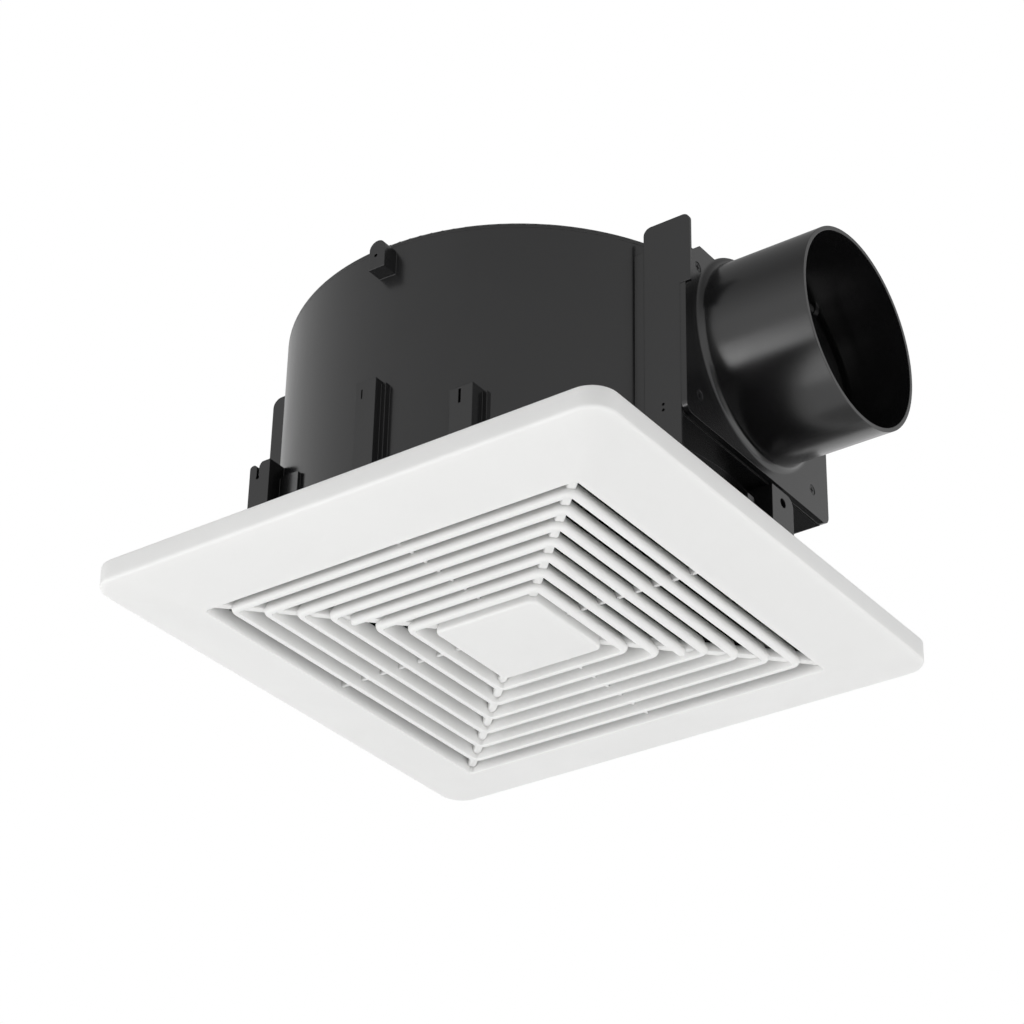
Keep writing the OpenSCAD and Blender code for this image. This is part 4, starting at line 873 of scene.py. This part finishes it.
    def ribs(self) -> bmesh.types.BMesh:
        """Mesh of the ribs that tie the slats together."""
        bm = bmesh.new()
        high = self.slat_roof - self.rib_drop
        low = self.slat_z + self.corner_rib_recess
        start, stop = self.panel / 2 - self.lip / 2, self.hole + self.lip / 2
        corner = (self.panel / 2 - self.panel_corner) * math.sqrt(2)
        reach = stop * math.sqrt(2) - self.corner_rib / 2
        size = (reach - corner, self.corner_rib, high - low)
        for turn in (45, 135, 225, 315):
            block(bm, ((corner + reach) / 2, 0, (low + high) / 2), size, turn, self.corner_rib_soft)
        low = self.slat_z + self.rib_recess
        z, tall = (low + high) / 2, high - low
        x_shift, y_shift = self.rib_shift_x, self.rib_shift_y
        size = (stop - start, self.rib, tall)
        for turn, shift in ((0, y_shift), (90, -x_shift), (180, -y_shift), (270, x_shift)):
            block(bm, ((start + stop) / 2, shift, z), size, turn, self.rib_soft)
        return bm

    def middle(self) -> bmesh.types.BMesh:
        """Mesh of the centre panel, a shallow tray that is open on top."""
        bm = bmesh.new()
        face, roof = -self.height, self.slat_roof
        half, corner = self.panel / 2, self.panel_corner
        profile = [
            (1.5, face, corner - 1.2),
            (0.9, face + 0.12, corner - 0.8),
            (0.3, face + 0.5, corner - 0.3),
            (0.0, face + 1.2, corner),
            (0.0, roof - 0.3, corner),
            (0.3, roof, corner - 0.2),
            (self.lip - 0.3, roof, corner - 1.4),
            (self.lip, roof - 0.3, corner - 1.5),
            (self.lip, face + self.wall + 0.6, corner - 1.5),
            (self.lip + 0.6, face + self.wall, corner - 2.0),
        ]
        loops = []
        for inset, z, radius in profile:
            side = half - inset
            loops.append(square_loop(side, side, side, side, radius, z))
        skin(bm, loops, caps=True)
        return bm

    def bosses(self) -> bmesh.types.BMesh:
        """Mesh of the two blocks that hold the springs."""
        bm = bmesh.new()
        base = self.rim_z(self.half - self.boss_y) + self.wall - self.boss_sink
        for side in (-1, 1):
            centre = (self.boss_x, side * self.boss_y, (base + self.boss_top) / 2)
            size = (2 * self.boss_half, self.boss_depth, self.boss_top - base)
            block(bm, centre, size, 0.0, self.edge_soft)
        return bm

    def build(self, shop: Workshop) -> None:
        """Makes the grille's pieces, which stand for its node.

        Args:
            shop: What finishes the pieces.
        """
        made = (
            ("grille_rim", self.rim()),
            ("grille_slats", self.slats()),
            ("grille_ribs", self.ribs()),
            ("grille_panel", self.middle()),
            ("grille_spring_blocks", self.bosses()),
        )
        for name, bm in made:
            piece = shop.piece(name, bm, Slot.WHITE_PLASTIC, Body.GRILLE)
            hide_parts("grille")


@dataclass(frozen=True)
class SoftBox:
    """A soft box, in metres and watts."""

    name: str
    stands: Point
    size: tuple[float, float]
    power: float


SOFT_BOXES = (
    SoftBox("front_strip", (-0.69, -1.41, -0.34), (0.3, 0.62), 1.9),
    SoftBox("left_box", (-0.87, -0.87, -1.03), (1.6, 1.6), 9.1),
    SoftBox("right_box", (1.1, 0.52, -1.03), (1.4, 1.4), 7.4),
    SoftBox("under_box", (0.1, -0.2, -1.3), (2.0, 2.0), 6.2),
)


@dataclass
class Studio:
    """The camera, the lamps, the floor and the background. Lengths are metres, angles degrees.

    The surround fades from its full brightness at fade_from to a share of it, overhead, at fade_to,
    both as the upward part of the direction. floor_glow lifts the floor for the camera alone.
    """

    azimuth: float = 36.25
    elevation: float = -30.57
    roll: float = 1.28
    lens: float = 101.32
    sensor: float = 36.0
    eye: Point = (0.7024, -0.9656, -0.6529)
    clip: tuple[float, float] = (0.05, 50.0)
    target: Point = (0.02, 0.0, 0.05)
    floor_z: float = -1.6
    floor_size: float = 9.0
    background: float = 1.0
    ambient: float = 0.8
    floor_shade: float = 0.85
    floor_roughness: float = 0.9
    floor_glow: float = 0.5
    overhead: float = 0.3
    fade_from: float = 0.3
    fade_to: float = 0.8

    def camera(self) -> None:
        """Sets the camera at the photograph's angle."""
        a, e, r = (math.radians(v) for v in (self.azimuth, self.elevation, self.roll))
        back = Vector((math.sin(a) * math.cos(e), -math.cos(a) * math.cos(e), math.sin(e)))
        right = Vector((0, 0, 1)).cross(back).normalized()
        up = back.cross(right)
        turned_right = right * math.cos(r) + up * math.sin(r)
        turned_up = up * math.cos(r) - right * math.sin(r)
        data = bpy.data.cameras.new("camera")
        data.lens = self.lens
        data.sensor_width = self.sensor
        data.clip_start, data.clip_end = self.clip
        camera = bpy.data.objects.new("camera", data)
        frame = Matrix((turned_right, turned_up, back)).transposed().to_4x4()
        camera.matrix_world = Matrix.Translation(self.eye) @ frame
        bpy.context.scene.collection.objects.link(camera)
        bpy.context.scene.camera = camera

    def lamp(self, box: SoftBox) -> None:
        """Adds a lamp that looks at the fan.

        Args:
            box: What it is.
        """
        data = bpy.data.lights.new(box.name, "AREA")
        data.shape = "RECTANGLE"
        data.size, data.size_y = box.size
        data.energy = box.power
        lamp = bpy.data.objects.new(box.name, data)
        lamp.location = box.stands
        aim = Vector(self.target) - Vector(box.stands)
        lamp.rotation_euler = aim.to_track_quat("-Z", "Y").to_euler()
        bpy.context.scene.collection.objects.link(lamp)

    def world(self) -> None:
        """A white surround for the camera, and one that is dimmer overhead for light and reflections."""
        world = bpy.data.worlds.new("surround")
        bpy.context.scene.world = world
        world.use_nodes = True
        tree = world.node_tree
        tree.nodes.clear()
        path = place(tree, "LightPath")
        direction = place(tree, "TexCoord").outputs["Generated"]
        upward = place(tree, "SeparateXYZ", None, {0: direction}).outputs[2]
        fade = remapped(tree, upward, self.fade_from, self.fade_to, start=1.0, stop=self.overhead)
        mirrored = arithmetic(tree, "ADD", path.outputs["Is Glossy Ray"], path.outputs["Is Transmission Ray"])
        glow = remapped(tree, mirrored, 0.0, 1.0, start=self.ambient, stop=self.background)
        glow = arithmetic(tree, "MULTIPLY", glow, fade)
        seen = path.outputs["Is Camera Ray"]
        strength = remapped(tree, seen, 0.0, 1.0, start=glow, stop=self.background)
        light = place(tree, "Background", None, {"Color": (1.0, 1.0, 1.0, 1.0), "Strength": strength})
        place(tree, "OutputWorld", None, {"Surface": light.outputs[0]})

    def floor(self) -> None:
        """A plain pale floor, far below the fan."""
        bm = bmesh.new()
        half = self.floor_size / 2
        signs = ((-1, -1), (1, -1), (1, 1), (-1, 1))
        bm.faces.new([bm.verts.new((x * half, y * half, self.floor_z)) for x, y in signs])
        mesh = bpy.data.meshes.new("floor")
        bm.to_mesh(mesh)
        bm.free()
        material = bpy.data.materials.new("floor_paint")
        material.use_nodes = True
        tree = material.node_tree
        surface = tree.nodes["Principled BSDF"]
        surface.inputs["Base Color"].default_value = (*[self.floor_shade] * 3, 1.0)
        surface.inputs["Roughness"].default_value = self.floor_roughness
        surface.inputs["Emission Color"].default_value = (1.0, 1.0, 1.0, 1.0)
        seen = place(tree, "LightPath").outputs["Is Camera Ray"]
        glow = arithmetic(tree, "MULTIPLY", seen, self.floor_glow)
        tree.links.new(glow, surface.inputs["Emission Strength"])
        mesh.materials.append(material)
        floor = bpy.data.objects.new("floor", mesh)
        bpy.context.scene.collection.objects.link(floor)

    def build(self) -> None:
        """Sets everything round the fan."""
        self.camera()
        self.world()
        self.floor()
        for box in SOFT_BOXES:
            self.lamp(box)
        bpy.context.scene.view_settings.view_transform = "Standard"


NODE_SLOTS: dict[Slot, tuple[str, ...]] = {
    Slot.BLACK_PLASTIC: (
        "casing", "top_cover", "inlet_ring", "scroll_wall", "terminal_cover", "side_bracket", "duct_adaptor",
        "damper_flap",
    ),
    Slot.WHEEL_PLASTIC: ("impeller",),
    Slot.GALVANISED: ("motor_upper_shell", "motor_lower_shell"),
    Slot.BRIGHT_STEEL: ("motor_shaft", "upper_bearing", "lower_bearing", "damper_pin"),
    Slot.SPRING_STEEL: ("spring_front", "spring_rear"),
    Slot.ZINC: (
        "cover_screws", "inlet_ring_screws", "motor_screws", "terminal_cover_screws", "impeller_nut",
        "impeller_insert",
    ),
    Slot.BLACK_STEEL: ("adaptor_screws",),
    Slot.CORE_STEEL: ("rotor_core", "stator_core"),
    Slot.COPPER: ("stator_winding",),
    Slot.RUBBER: ("motor_grommets", "lead_grommet", "cable_bush"),
    Slot.FOAM: ("adaptor_gasket", "damper_seal"),
    Slot.CABLE: ("motor_lead",),
    Slot.FUSE: ("thermal_fuse",),
    Slot.TERMINAL: ("terminal_block",),
    Slot.CAN: ("capacitor",),
}


def corners(box: Iterable[Vector]) -> list[list[float]]:
    """A box as plain lists of numbers."""
    return [[round(v, 5) for v in corner] for corner in box]


def main() -> None:
    """Builds the whole scene."""
    logging.basicConfig(level=logging.INFO, format="%(message)s")
    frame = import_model()
    effects = Effects()
    effects.build()
    shop = Workshop({finish.slot: finish.build(effects) for finish in FINISHES})
    for slot, names in NODE_SLOTS.items():
        for name in names:
            shop.dress(frame["nodes"][name], slot)
    Grille().build(shop)
    Studio().build()


if __name__ == "__main__":
    main()
